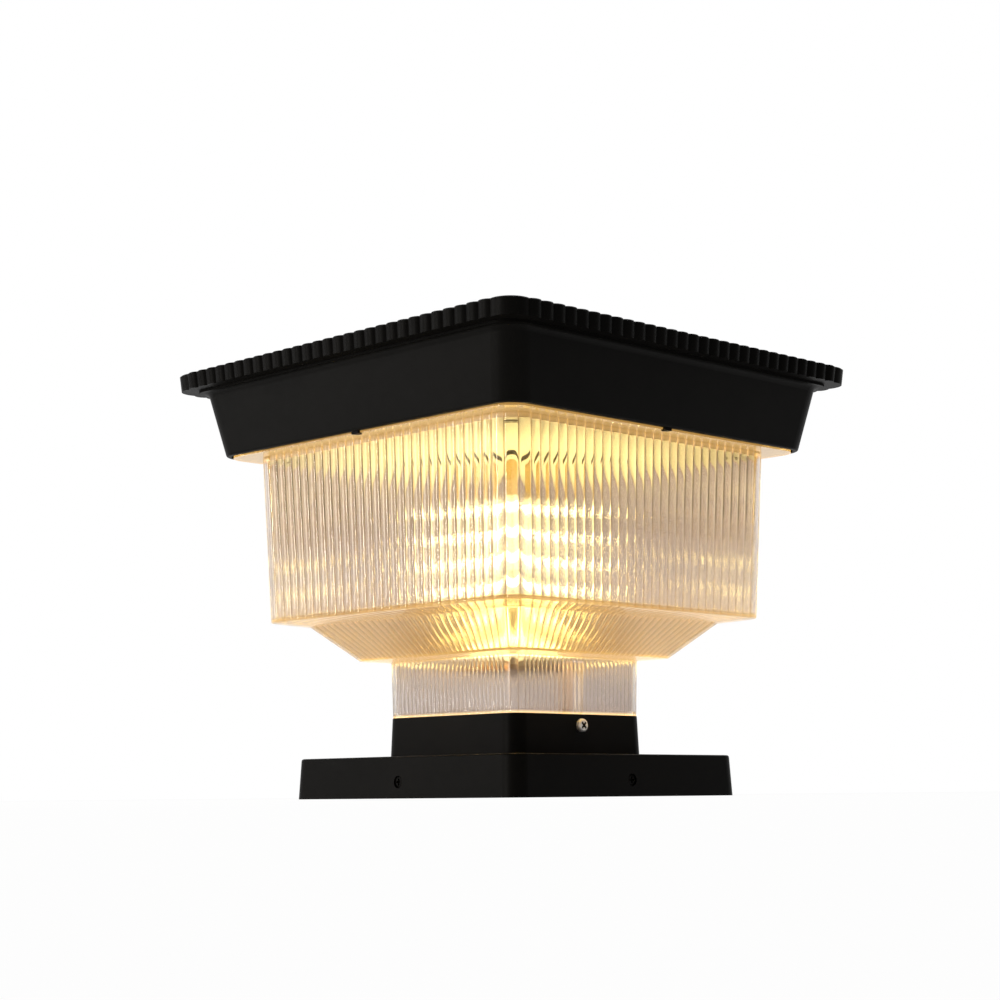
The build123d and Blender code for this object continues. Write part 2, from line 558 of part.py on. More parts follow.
# Cap housing: toothed rim, skirt, deck under the panel, bosses, hooks and the switch's pad
switch_wall = skirt_side(SWITCH_Z) / 2
switch_face = switch_wall + SWITCH_PAD_PROUD
switch_inner_face = switch_wall - SWITCH_PAD_INNER
with BuildPart() as cap_housing:
    for z in (SKIRT_Z, LIP_Z):
        with BuildSketch(Plane.XY.offset(z)):
            RectangleRounded(skirt_side(z), skirt_side(z), SKIRT_CORNER)
    loft(ruled=True)
    fillet(cap_housing.faces().sort_by(Axis.Z)[0].edges(), SKIRT_EDGE_ROUND)
    with BuildSketch(Plane.XY.offset(LIP_Z)):
        RectangleRounded(LIP_SIDE, LIP_SIDE, LIP_CORNER)
    extrude(amount=LIP_HEIGHT)
    lip_underside = cap_housing.faces().filter_by_position(Axis.Z, LIP_Z, LIP_Z)[0]
    fillet(lip_underside.inner_wires()[0].edges(), SKIRT_FILLET)
    rim_sections = (
        (RIM_SIDE_BOTTOM, RIM_Z),
        (RIM_SIDE_TOP, TOP_Z - RIM_CHAMFER),
        (RIM_SIDE_TOP - 2 * RIM_CHAMFER, TOP_Z),
    )
    for side, z in rim_sections:
        with BuildSketch(Plane.XY.offset(z)):
            with BuildLine():
                draw_scallops(side, RIM_CORNER, TOOTH_RISE, TEETH_PER_SIDE, TEETH_PER_CORNER)
            make_face()
    loft(ruled=True)
    for z in (SKIRT_Z, DECK_Z):
        with BuildSketch(Plane.XY.offset(z)):
            inner_side = skirt_side(z) - 2 * CAP_WALL
            RectangleRounded(inner_side, inner_side, SKIRT_CORNER - CAP_WALL)
    loft(ruled=True, mode=Mode.SUBTRACT)
    with BuildSketch(Plane.XY.offset(PANEL_Z)):
        RectangleRounded(PANEL_POCKET_SIDE, PANEL_POCKET_SIDE, PANEL_POCKET_CORNER)
    extrude(amount=PANEL_POCKET_DEPTH, mode=Mode.SUBTRACT)
    with BuildSketch(Plane.XY.offset(SEAT_Z)):
        seat_side = skirt_side(SEAT_Z) - CAP_WALL
        RectangleRounded(seat_side, seat_side, SKIRT_CORNER - CAP_WALL / 2)
        RectangleRounded(gasket_inside, gasket_inside, SEAT_CORNER, mode=Mode.SUBTRACT)
    extrude(amount=SEAT_LEDGE_THICKNESS)
    with BuildSketch(Plane.XY.offset(CHASSIS_Z)):
        with GridLocations(REFLECTOR_SCREW_SPACING, REFLECTOR_SCREW_SPACING, 2, 2):
            Circle(CAP_BOSS_RADIUS)
    extrude(amount=DECK_Z - CHASSIS_Z)
    with BuildSketch(Plane.XY.offset(CHASSIS_Z)):
        with GridLocations(REFLECTOR_SCREW_SPACING, REFLECTOR_SCREW_SPACING, 2, 2):
            Circle(M35_RADIUS + THREAD_CLEARANCE)
    extrude(amount=REFLECTOR_SCREW_LENGTH, mode=Mode.SUBTRACT)
    hook_centre = skirt_side(SKIRT_Z) / 2 - CAP_WALL
    hook_z = FLANGE_Z - HOOK_THICKNESS
    hook_root_height = HOOK_THICKNESS + FLANGE_SHOW + HOOK_ROOT
    for angle in SIDES:
        with BuildSketch(Plane.XY.offset(hook_z)):
            with Locations(Vector(hook_centre, 0).rotate(Axis.Z, angle)):
                Circle(HOOK_RADIUS)
            with Locations(Location((0, 0, 0), (0, 0, angle))):
                Rectangle(2 * (hook_centre + HOOK_ROOT), 2 * HOOK_RADIUS, mode=Mode.INTERSECT)
        extrude(amount=HOOK_THICKNESS)
        with BuildSketch(side_plane(angle, hook_centre, hook_z + hook_root_height / 2)):
            Rectangle(2 * HOOK_RADIUS, hook_root_height)
        extrude(amount=HOOK_ROOT)
    with BuildSketch(side_plane(90, switch_inner_face, SWITCH_Z)):
        Circle(SWITCH_PAD_RADIUS)
    extrude(amount=SWITCH_PAD_INNER + SWITCH_PAD_PROUD)
    with BuildSketch(side_plane(90, switch_inner_face, SWITCH_Z)):
        Circle(SWITCH_BARREL_RADIUS + THREAD_CLEARANCE)
    extrude(amount=SWITCH_PAD_INNER + SWITCH_PAD_PROUD, mode=Mode.SUBTRACT)
    with Locations((PANEL_LEAD_X, PANEL_LEAD_Y, PANEL_Z)):
        Hole(GROMMET_HOLE_RADIUS, depth=2 * DECK_THICKNESS)
cap_housing.part.label = "cap_housing"
export_step(cap_housing.part, "parts/cap_housing.step")

# Solar panel: backsheet, cells and glass in the cap's pocket, with a seal round them
glass_side = PANEL_POCKET_SIDE - 2 * SEAL_WIDTH
glass_corner = PANEL_POCKET_CORNER - SEAL_WIDTH
cells_z = PANEL_Z + BACKSHEET_THICKNESS
glass_z = cells_z + CELL_THICKNESS
cell_pitch = (glass_side - 2 * CELL_MARGIN + CELL_GAP) / CELLS_PER_SIDE
with BuildPart() as panel_backsheet:
    with BuildSketch(Plane.XY.offset(PANEL_Z)):
        RectangleRounded(glass_side, glass_side, glass_corner)
    extrude(amount=BACKSHEET_THICKNESS)
panel_backsheet.part.label = "panel_backsheet"
export_step(panel_backsheet.part, "parts/panel_backsheet.step")

with BuildPart() as solar_cells:
    with BuildSketch(Plane.XY.offset(cells_z)):
        with GridLocations(cell_pitch, cell_pitch, CELLS_PER_SIDE, CELLS_PER_SIDE):
            Rectangle(cell_pitch - CELL_GAP, cell_pitch - CELL_GAP)
    extrude(amount=CELL_THICKNESS)
solar_cells.part.label = "solar_cells"
export_step(solar_cells.part, "parts/solar_cells.step")

with BuildPart() as solar_glass:
    with BuildSketch(Plane.XY.offset(glass_z)):
        RectangleRounded(glass_side, glass_side, glass_corner)
    extrude(amount=GLASS_THICKNESS)
    chamfer(solar_glass.faces().sort_by(Axis.Z)[-1].edges(), GLASS_EDGE_CHAMFER)
solar_glass.part.label = "solar_glass"
export_step(solar_glass.part, "parts/solar_glass.step")

with BuildPart() as panel_seal:
    with BuildSketch(Plane.XY.offset(PANEL_Z)):
        RectangleRounded(PANEL_POCKET_SIDE, PANEL_POCKET_SIDE, PANEL_POCKET_CORNER)
        RectangleRounded(glass_side, glass_side, glass_corner, mode=Mode.SUBTRACT)
    extrude(amount=glass_z + GLASS_THICKNESS - GLASS_EDGE_CHAMFER - PANEL_Z)
panel_seal.part.label = "panel_seal"
export_step(panel_seal.part, "parts/panel_seal.step")

# Reflector plate: white tray under the cap, which also carries the battery, board and lamp post
reflector_side = 2 * (box_inside_top - REFLECTOR_CLEARANCE)
reflector_corner = BOX_CORNER - SHADE_WALL
board_holes_x = BOARD_LENGTH - 2 * BOARD_HOLE_INSET
board_holes_y = BOARD_WIDTH - 2 * BOARD_HOLE_INSET
holder_length = BATTERY_LENGTH + 2 * BATTERY_CONTACT + 2 * HOLDER_WALL
holder_width = BATTERY_COUNT * BATTERY_PITCH + 2 * HOLDER_WALL
holder_tab_y = holder_width / 2 + HOLDER_TAB / 2
with BuildPart() as reflector_plate:
    with BuildSketch(Plane.XY.offset(REFLECTOR_Z)):
        RectangleRounded(reflector_side, reflector_side, reflector_corner)
    extrude(amount=REFLECTOR_RIM_HEIGHT)
    with BuildSketch(Plane.XY.offset(CHASSIS_Z)):
        tray_side = reflector_side - 2 * REFLECTOR_RIM_WALL
        RectangleRounded(tray_side, tray_side, reflector_corner - REFLECTOR_RIM_WALL)
    extrude(amount=REFLECTOR_RIM_HEIGHT, mode=Mode.SUBTRACT)
    with BuildSketch(Plane.XY.offset(CHASSIS_Z)):
        with Locations((BOARD_CENTRE_X, 0)):
            with GridLocations(board_holes_x, board_holes_y, 2, 2):
                Circle(STANDOFF_RADIUS)
    extrude(amount=STANDOFF_HEIGHT)
    with BuildSketch(Plane.XY.offset(CHASSIS_Z)):
        with Locations((BOARD_CENTRE_X, 0)):
            with GridLocations(board_holes_x, board_holes_y, 2, 2):
                Circle(M3_RADIUS + THREAD_CLEARANCE)
    extrude(amount=STANDOFF_HEIGHT, mode=Mode.SUBTRACT)
    with BuildSketch(Plane.XY.offset(REFLECTOR_Z)):
        Circle(POST_WIRE_HOLE)
        with GridLocations(POST_SCREW_SPACING, POST_SCREW_SPACING, 2, 2):
            Circle(M3_RADIUS + SCREW_CLEARANCE)
        with GridLocations(REFLECTOR_SCREW_SPACING, REFLECTOR_SCREW_SPACING, 2, 2):
            Circle(M35_RADIUS + SCREW_CLEARANCE)
        with Locations((HOLDER_CENTRE_X, holder_tab_y), (HOLDER_CENTRE_X, -holder_tab_y)):
            Circle(M3_RADIUS + THREAD_CLEARANCE)
    extrude(amount=REFLECTOR_THICKNESS, mode=Mode.SUBTRACT)
reflector_plate.part.label = "reflector_plate"
export_step(reflector_plate.part, "parts/reflector_plate.step")

# Screws up through the reflector plate's corners into the cap's bosses
reflector_screw_reach = REFLECTOR_THICKNESS + REFLECTOR_SCREW_LENGTH
reflector_screw = pan_screw(M35_RADIUS, reflector_screw_reach, M35_HEAD_RADIUS, M35_HEAD_HEIGHT)
with BuildPart() as reflector_screws:
    with Locations(Plane(origin=(0, 0, REFLECTOR_Z), z_dir=(0, 0, -1))):
        with GridLocations(REFLECTOR_SCREW_SPACING, REFLECTOR_SCREW_SPACING, 2, 2):
            add(reflector_screw)
reflector_screws.part.label = "reflector_screws"
export_step(reflector_screws.part, "parts/reflector_screws.step")

# Lamp post: square tube hung from a flange, closed by an end cap
post_inside = POST_SIDE - 2 * POST_WALL
post_socket = post_inside - 2 * POST_SOCKET_CLEARANCE
with BuildPart() as post_flange:
    with BuildSketch(Plane.XY.offset(POST_TOP_Z)):
        RectangleRounded(POST_FLANGE_SIDE, POST_FLANGE_SIDE, POST_FLANGE_CORNER)
        with GridLocations(POST_SCREW_SPACING, POST_SCREW_SPACING, 2, 2):
            Circle(M3_RADIUS + THREAD_CLEARANCE, mode=Mode.SUBTRACT)
    extrude(amount=POST_FLANGE_THICKNESS)
    with BuildSketch(Plane.XY.offset(POST_TOP_Z)):
        Rectangle(post_socket, post_socket)
    extrude(amount=-POST_SOCKET_DEPTH)
    with BuildSketch(Plane.XY.offset(REFLECTOR_Z)):
        Circle(POST_WIRE_HOLE)
    extrude(amount=-POST_FLANGE_THICKNESS - POST_SOCKET_DEPTH, mode=Mode.SUBTRACT)
post_flange.part.label = "post_flange"
export_step(post_flange.part, "parts/post_flange.step")

with BuildPart() as led_post:
    with BuildSketch(Plane.XY.offset(POST_Z)):
        RectangleRounded(POST_SIDE, POST_SIDE, POST_CORNER)
        Rectangle(post_inside, post_inside, mode=Mode.SUBTRACT)
    extrude(amount=POST_LENGTH)
led_post.part.label = "led_post"
export_step(led_post.part, "parts/led_post.step")

with BuildPart() as post_end_cap:
    with BuildSketch(Plane.XY.offset(POST_Z)):
        RectangleRounded(END_CAP_SIDE, END_CAP_SIDE, POST_CORNER)
    extrude(amount=-END_CAP_THICKNESS)
    fillet(post_end_cap.faces().sort_by(Axis.Z)[0].edges(), END_CAP_ROUND)
    with BuildSketch(Plane.XY.offset(POST_Z)):
        Rectangle(post_socket, post_socket)
    extrude(amount=POST_SOCKET_DEPTH)
post_end_cap.part.label = "post_end_cap"
export_step(post_end_cap.part, "parts/post_end_cap.step")

post_screw = pan_screw(M3_RADIUS, REFLECTOR_THICKNESS + POST_FLANGE_THICKNESS, M3_HEAD_RADIUS, M3_HEAD_HEIGHT)
with BuildPart() as post_screws:
    with Locations(Plane.XY.offset(CHASSIS_Z)):
        with GridLocations(POST_SCREW_SPACING, POST_SCREW_SPACING, 2, 2):
            add(post_screw)
post_screws.part.label = "post_screws"
export_step(post_screws.part, "parts/post_screws.step")

# Lamp boards on the post's four faces, and rows of lamps on them
board_middle_z = LED_BOARD_Z + LED_BOARD_LENGTH / 2
with BuildPart() as led_boards:
    for angle in SIDES:
        with BuildSketch(side_plane(angle, POST_SIDE / 2, board_middle_z)):
            Rectangle(LED_BOARD_WIDTH, LED_BOARD_LENGTH)
        extrude(amount=LED_BOARD_THICKNESS)
led_boards.part.label = "led_boards"
export_step(led_boards.part, "parts/led_boards.step")

with BuildPart() as led_chips:
    for angle in SIDES:
        with BuildSketch(side_plane(angle, POST_SIDE / 2 + LED_BOARD_THICKNESS, board_middle_z)):
            with GridLocations(LED_COLUMN_PITCH, LED_ROW_PITCH, LED_COLUMNS, LED_ROWS):
                Rectangle(LED_SIDE, LED_SIDE)
        extrude(amount=LED_HEIGHT)
led_chips.part.label = "led_chips"
export_step(led_chips.part, "parts/led_chips.step")

# Battery: four cells side by side in a tray, between contact plates
battery_axis_z = CHASSIS_Z + HOLDER_WALL + BATTERY_SEAT_GAP + BATTERY_RADIUS
battery_rows = [(row - (BATTERY_COUNT - 1) / 2) * BATTERY_PITCH for row in range(BATTERY_COUNT)]
with BuildPart() as battery_holder:
    with BuildSketch(Plane.XY.offset(CHASSIS_Z)):
        with Locations((HOLDER_CENTRE_X, 0)):
            Rectangle(holder_length, holder_width)
    extrude(amount=HOLDER_HEIGHT)
    with BuildSketch(Plane.XY.offset(CHASSIS_Z + HOLDER_WALL)):
        with Locations((HOLDER_CENTRE_X, 0)):
            Rectangle(holder_length - 2 * HOLDER_WALL, holder_width - 2 * HOLDER_WALL)
    extrude(amount=HOLDER_HEIGHT, mode=Mode.SUBTRACT)
    with BuildSketch(Plane.XY.offset(CHASSIS_Z)):
        with Locations((HOLDER_CENTRE_X, holder_tab_y), (HOLDER_CENTRE_X, -holder_tab_y)):
            Rectangle(2 * HOLDER_TAB, HOLDER_TAB)
            Circle(M3_RADIUS + SCREW_CLEARANCE, mode=Mode.SUBTRACT)
    extrude(amount=HOLDER_WALL)
battery_holder.part.label = "battery_holder"
export_step(battery_holder.part, "parts/battery_holder.step")

with BuildPart() as battery_cells:
    with BuildSketch(Plane.YZ.offset(HOLDER_CENTRE_X - BATTERY_LENGTH / 2)):
        with Locations(*[(row, battery_axis_z) for row in battery_rows]):
            Circle(BATTERY_RADIUS)
    extrude(amount=BATTERY_LENGTH)
battery_cells.part.label = "battery_cells"
export_step(battery_cells.part, "parts/battery_cells.step")

with BuildPart() as battery_contacts:
    for inner_face in (-BATTERY_LENGTH / 2 - BATTERY_CONTACT, BATTERY_LENGTH / 2):
        with BuildSketch(Plane.YZ.offset(HOLDER_CENTRE_X + inner_face)):
            with Locations(*[(row, battery_axis_z) for row in battery_rows]):
                RectangleRounded(BATTERY_CONTACT_SIDE, BATTERY_CONTACT_SIDE, BATTERY_CONTACT_CORNER)
        extrude(amount=BATTERY_CONTACT)
battery_contacts.part.label = "battery_contacts"
export_step(battery_contacts.part, "parts/battery_contacts.step")

holder_screw = pan_screw(M3_RADIUS, HOLDER_SCREW_LENGTH, M3_HEAD_RADIUS, M3_HEAD_HEIGHT)
with BuildPart() as holder_screws:
    with Locations(Plane.XY.offset(CHASSIS_Z + HOLDER_WALL)):
        with Locations((HOLDER_CENTRE_X, holder_tab_y), (HOLDER_CENTRE_X, -holder_tab_y)):
            add(holder_screw)
holder_screws.part.label = "holder_screws"
export_step(holder_screws.part, "parts/holder_screws.step")

# Control board on the reflector plate's standoffs
board_top_z = BOARD_Z + BOARD_THICKNESS
connector_x = BOARD_CENTRE_X - BOARD_LENGTH / 2 + CONNECTOR_INSET
connector_top_z = board_top_z + CONNECTOR_HEIGHT
connector_rows = [(row - (CONNECTOR_COUNT - 1) / 2) * CONNECTOR_PITCH for row in range(CONNECTOR_COUNT)]
with BuildPart() as control_board:
    with BuildSketch(Plane.XY.offset(BOARD_Z)):
        with Locations((BOARD_CENTRE_X, 0)):
            Rectangle(BOARD_LENGTH, BOARD_WIDTH)
            with GridLocations(board_holes_x, board_holes_y, 2, 2):
                Circle(M3_RADIUS + SCREW_CLEARANCE, mode=Mode.SUBTRACT)
    extrude(amount=BOARD_THICKNESS)
control_board.part.label = "control_board"
export_step(control_board.part, "parts/control_board.step")

with BuildPart() as board_components:
    with BuildSketch(Plane.XY.offset(board_top_z)):
        with Locations(*[(connector_x, row) for row in connector_rows]):
            Rectangle(CONNECTOR_DEPTH, CONNECTOR_WIDTH)
    extrude(amount=CONNECTOR_HEIGHT)
    with BuildSketch(Plane.XY.offset(board_top_z)):
        with Locations((BOARD_CENTRE_X + TALL_PART_X, TALL_PART_Y)):
            RectangleRounded(COIL_SIDE, COIL_SIDE, COIL_CORNER)
        with Locations((BOARD_CENTRE_X + TALL_PART_X, -TALL_PART_Y)):
            Circle(CAPACITOR_RADIUS)
    extrude(amount=TALL_PART_HEIGHT)
    with BuildSketch(Plane.XY.offset(board_top_z)):
        with Locations((BOARD_CENTRE_X, 0)):
            Rectangle(CHIP_WIDTH, CHIP_LENGTH)
    extrude(amount=CHIP_HEIGHT)
board_components.part.label = "board_components"
export_step(board_components.part, "parts/board_components.step")

board_screw = pan_screw(M3_RADIUS, BOARD_THICKNESS + STANDOFF_HEIGHT, M3_HEAD_RADIUS, M3_HEAD_HEIGHT)
with BuildPart() as board_screws:
    with Locations(Plane.XY.offset(board_top_z)):
        with Locations((BOARD_CENTRE_X, 0)):
            with GridLocations(board_holes_x, board_holes_y, 2, 2):
                add(board_screw)
board_screws.part.label = "board_screws"
export_step(board_screws.part, "parts/board_screws.step")

# Power switch: sealed body through the cap's pad, a nut behind it and a button that travels inwards
bezel_seat = switch_face + SWITCH_SEAL_THICKNESS
bezel_face = bezel_seat + SWITCH_BEZEL_HEIGHT
switch_back = bezel_seat - SWITCH_BODY_LENGTH
button_back = bezel_face - BUTTON_DEPTH
with BuildPart() as switch_body:
    with BuildSketch(side_plane(90, switch_back, SWITCH_Z)):
        Circle(SWITCH_BARREL_RADIUS)
    extrude(amount=SWITCH_BODY_LENGTH)
    with BuildSketch(side_plane(90, bezel_seat, SWITCH_Z)):
        Circle(SWITCH_BEZEL_RADIUS)
    extrude(amount=SWITCH_BEZEL_HEIGHT)
    chamfer(switch_body.faces().sort_by(Axis.Y)[-1].edges(), SWITCH_BEZEL_CHAMFER)
    with BuildSketch(side_plane(90, bezel_face, SWITCH_Z)):
        Circle(BUTTON_RADIUS + BUTTON_CLEARANCE)
    extrude(amount=-BUTTON_DEPTH - BUTTON_TRAVEL - BUTTON_END_GAP, mode=Mode.SUBTRACT)
switch_body.part.label = "switch_body"
export_step(switch_body.part, "parts/switch_body.step")

with BuildPart() as switch_seal:
    with BuildSketch(side_plane(90, switch_face, SWITCH_Z)):
        Circle(SWITCH_BEZEL_RADIUS)
        Circle(SWITCH_BARREL_RADIUS + THREAD_CLEARANCE, mode=Mode.SUBTRACT)
    extrude(amount=SWITCH_SEAL_THICKNESS)
switch_seal.part.label = "switch_seal"
export_step(switch_seal.part, "parts/switch_seal.step")

with BuildPart() as switch_nut:
    with BuildSketch(side_plane(90, switch_inner_face, SWITCH_Z)):
        RegularPolygon(SWITCH_NUT_ACROSS_FLATS / 2, 6, major_radius=False)
        Circle(SWITCH_BARREL_RADIUS + THREAD_CLEARANCE, mode=Mode.SUBTRACT)
    extrude(amount=-SWITCH_NUT_THICKNESS)
switch_nut.part.label = "switch_nut"
export_step(switch_nut.part, "parts/switch_nut.step")

with BuildPart() as power_button:
    with BuildSketch(side_plane(90, button_back, SWITCH_Z)):
        Circle(BUTTON_RADIUS)
    extrude(amount=BUTTON_DEPTH + BUTTON_PROUD)
    fillet(power_button.faces().sort_by(Axis.Y)[-1].edges(), BUTTON_EDGE_ROUND)
power_button.part.label = "power_button"
export_step(power_button.part, "parts/power_button.step")

# Grommet in the deck and the wires between the pieces, ending on the board's connectors
grommet_drop = DECK_THICKNESS + GROMMET_FLANGE_THICKNESS
with BuildPart() as lead_grommet:
    with BuildSketch(Plane.XY.offset(PANEL_Z - grommet_drop)):
        with Locations((PANEL_LEAD_X, PANEL_LEAD_Y)):
            Circle(GROMMET_FLANGE_RADIUS)
    extrude(amount=GROMMET_FLANGE_THICKNESS)
    with BuildSketch(Plane.XY.offset(DECK_Z)):
        with Locations((PANEL_LEAD_X, PANEL_LEAD_Y)):
            Circle(GROMMET_HOLE_RADIUS)
    extrude(amount=DECK_THICKNESS)
    with BuildSketch(Plane.XY.offset(PANEL_Z - grommet_drop)):
        with Locations((PANEL_LEAD_X, PANEL_LEAD_Y)):
            Circle(LEAD_RADIUS + THREAD_CLEARANCE)
    extrude(amount=grommet_drop, mode=Mode.SUBTRACT)
lead_grommet.part.label = "lead_grommet"
export_step(lead_grommet.part, "parts/lead_grommet.step")

low_run_z = connector_top_z + LEAD_BEND + 2 * LEAD_RADIUS
middle_run_z = low_run_z + LEAD_SPACING
high_run_z = middle_run_z + LEAD_SPACING
battery_y, lamp_y, switch_y, panel_y = connector_rows

panel_lead = lead(
    [
        (PANEL_LEAD_X, PANEL_LEAD_Y, PANEL_Z),
        (PANEL_LEAD_X, PANEL_LEAD_Y, low_run_z),
        (connector_x, panel_y, low_run_z),
        (connector_x, panel_y, connector_top_z),
    ],
    LEAD_BEND,
)
panel_lead.label = "panel_lead"
export_step(panel_lead, "parts/panel_lead.step")

holder_end = HOLDER_CENTRE_X + holder_length / 2
holder_exit_z = CHASSIS_Z + HOLDER_HEIGHT - LEAD_EXIT_DROP
battery_lead = lead(
    [
        (holder_end, battery_y, holder_exit_z),
        ((holder_end + connector_x) / 2, battery_y, holder_exit_z),
        ((holder_end + connector_x) / 2, battery_y, middle_run_z),
        (connector_x, battery_y, middle_run_z),
        (connector_x, battery_y, connector_top_z),
    ],
    LEAD_BEND,
)
battery_lead.label = "battery_lead"
export_step(battery_lead, "parts/battery_lead.step")

led_lead = lead(
    [
        (connector_x, lamp_y, connector_top_z),
        (connector_x, lamp_y, middle_run_z),
        (0, 0, middle_run_z),
        (0, 0, POST_TOP_Z - LED_LEAD_TAIL),
    ],
    LEAD_BEND,
)
led_lead.label = "led_lead"
export_step(led_lead, "parts/led_lead.step")

switch_lead = lead(
    [
        (0, switch_back, SWITCH_Z),
        (0, switch_back - SWITCH_LEAD_RUN, SWITCH_Z),
        (0, switch_back - SWITCH_LEAD_RUN, high_run_z),
        (connector_x, switch_y, high_run_z),
        (connector_x, switch_y, connector_top_z),
    ],
    LEAD_BEND,
)
switch_lead.label = "switch_lead"
export_step(switch_lead, "parts/switch_lead.step")
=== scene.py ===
from math import cos, pi, radians, sin, tan

import bpy
from mathutils import Matrix, Vector


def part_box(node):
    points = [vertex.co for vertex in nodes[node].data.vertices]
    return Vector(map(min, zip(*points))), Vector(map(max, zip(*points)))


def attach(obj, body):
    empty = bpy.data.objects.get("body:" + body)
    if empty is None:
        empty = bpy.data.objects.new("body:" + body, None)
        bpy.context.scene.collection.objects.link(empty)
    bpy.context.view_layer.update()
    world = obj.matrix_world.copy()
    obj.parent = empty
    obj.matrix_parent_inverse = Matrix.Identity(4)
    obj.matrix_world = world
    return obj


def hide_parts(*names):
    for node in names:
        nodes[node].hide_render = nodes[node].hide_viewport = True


# Solar pillar light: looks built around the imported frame. Metres, in the frame's own axes.

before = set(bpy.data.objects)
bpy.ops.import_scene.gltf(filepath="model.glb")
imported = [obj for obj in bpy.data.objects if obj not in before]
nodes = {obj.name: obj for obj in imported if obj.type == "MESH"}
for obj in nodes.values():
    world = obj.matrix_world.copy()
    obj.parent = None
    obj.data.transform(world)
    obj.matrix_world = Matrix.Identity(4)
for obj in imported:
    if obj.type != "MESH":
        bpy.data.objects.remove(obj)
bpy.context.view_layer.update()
scene = bpy.context.scene

MM = 0.001

# Photograph's camera, fitted to the object's square outlines
CAMERA_PLACE = (0.89866, -0.89562, 0.001)
CAMERA_YAW = radians(45.4418)
CAMERA_PITCH = radians(8.0701)
CAMERA_ROLL = radians(-0.5455)
CAMERA_LENS = 75.122
CAMERA_SENSOR = 36.0
CAMERA_NEAR = 0.01
CAMERA_FAR = 100.0

# White backdrop behind the object, the darker room in front of it, their soft light, and the pale floor
BACKDROP_LEVEL = 1.0
ROOM_LEVEL = 0.08
BACKDROP_START = -0.1
BACKDROP_FULL = 0.75
SOFT_LEVEL = 0.2
FLOOR_GREY = 0.9
FLOOR_WHITE = 1.06
FLOOR_WHITE_SHARE = 0.9
FLOOR_REACH = 6.0

# Studio lamps: place, target, width, height, watts and colour
KEY_LIGHT = ((-1.27, -1.26, 0.45), (0, 0, 0.15), 0.45, 1.2, 7.5, (1.0, 0.98, 0.95))
EDGE_LIGHT = ((-0.3, -1.7, 0.3), (0, -0.1, 0.1), 0.12, 0.9, 12.0, (1.0, 0.96, 0.9))
FILL_LIGHT = ((2.0, 0.3, 1.0), (0, 0, 0.15), 1.2, 1.2, 3.0, (1.0, 0.97, 0.93))

# Hidden lamps that stand in for the rows' light, up inside the shade and down past the neck:
# width, height, watts and colour, and how far they are from the axis or the neck
ROWS_LIGHT = (0.05, 0.15, 0.17, (1.0, 0.86, 0.34))
ROWS_LIGHT_OUT = 60.0 * MM
GLOW_LIGHT = (0.012, 0.1, 0.035, (1.0, 0.62, 0.2))
GLOW_LIGHT_GAP = 10.0 * MM

# Places read from the frame
collar_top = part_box("collar")[1].z
flange_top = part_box("shade")[1].z
spigot_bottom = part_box("shade")[0].z
flange_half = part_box("shade")[1].x
chip_low, chip_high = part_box("led_chips")
lamp_middle_z = (chip_low.z + chip_high.z) / 2
screw_low, screw_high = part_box("collar_screws")
cells_low, cells_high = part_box("solar_cells")

# Shade: half sides, heights above the collar, corner radii and rib rises of its outer forms
RIBS_PER_SIDE = 27
RIBS_PER_CORNER = 3
RIB_STEPS = 10
SHADE_WALL = 3.0 * MM
FLANGE_THICKNESS = 4.0 * MM
FLANGE_CORNER = 13.0 * MM
GASKET_SQUEEZE = 0.05 * MM
BOX_TOP_HALF = 113.2 * MM
BOX_BOTTOM_HALF = 109.15 * MM
BOX_BOTTOM_RISE = 58.3 * MM
BOX_CORNER = 15.0 * MM
BOX_RIB = 1.1 * MM
SLOPE_TOP_HALF = 92.0 * MM
SLOPE_TOP_RISE = 55.7 * MM
SLOPE_TOP_CORNER = 14.0 * MM
SLOPE_BOTTOM_HALF = 69.2 * MM
SLOPE_BOTTOM_RISE = 34.5 * MM
SLOPE_BOTTOM_CORNER = 10.0 * MM
SLOPE_RIB = 0.6 * MM
NECK_TOP_HALF = 55.4 * MM
NECK_TOP_RISE = 33.5 * MM
NECK_BOTTOM_HALF = 54.8 * MM
NECK_CORNER = 9.0 * MM
NECK_RIB = 0.5 * MM
SPIGOT_HALF = 52.0 * MM
SPIGOT_WALL = 2.6 * MM
SPIGOT_CORNER = 7.0 * MM
FOOT_THICKNESS = 2.6 * MM
EDGE_ROUND = 1.2 * MM
EDGE_STEPS = 4
BOSS_HALF_WIDTH = 4.5 * MM
BOSS_DEPTH = 8.0 * MM
BOSS_TOP_RISE = 31.5 * MM
SHARP_ANGLE = radians(28.0)
STRAIGHT_ANGLE = 1e-4

# Levels of the shade's forms
flange_z = flange_top - FLANGE_THICKNESS
box_z = collar_top + BOX_BOTTOM_RISE
slope_top_z = collar_top + SLOPE_TOP_RISE
slope_z = collar_top + SLOPE_BOTTOM_RISE
neck_top_z = collar_top + NECK_TOP_RISE
boss_top_z = collar_top + BOSS_TOP_RISE
foot_z = collar_top + FOOT_THICKNESS

# Finishes of the shade's skin, in the order of its material slots
PLAIN, DRAWN, BOSS_WALL, FROSTED = range(4)

# Clear plastic: its warm tints, and painted light and shade: amber lamplight, a glow for the scattered light,
# and the valleys' lines
PLASTIC_IOR = 1.49
SHADE_TINT = (0.705, 0.62, 0.572)
NECK_TINT = (0.66, 0.6, 0.56)
# Painted lamplight: the amber tint stands where the lamps' light falls in the slope and flange
PAINTED_LAMPLIGHT_TINT = (0.645, 0.49, 0.322)
# Colour of the painted glow that stands in for the lamps' light scattered in the plastic
PAINTED_GLOW_COLOUR = (1.0, 0.6, 0.17)
# Painted shade in the valleys between ribs: a dark brown tint, with a little painted glow
VALLEY_PAINTED_SHADE = (0.3, 0.16, 0.055)
VALLEY_PAINTED_GLOW = 0.08
VALLEY_START = 0.35

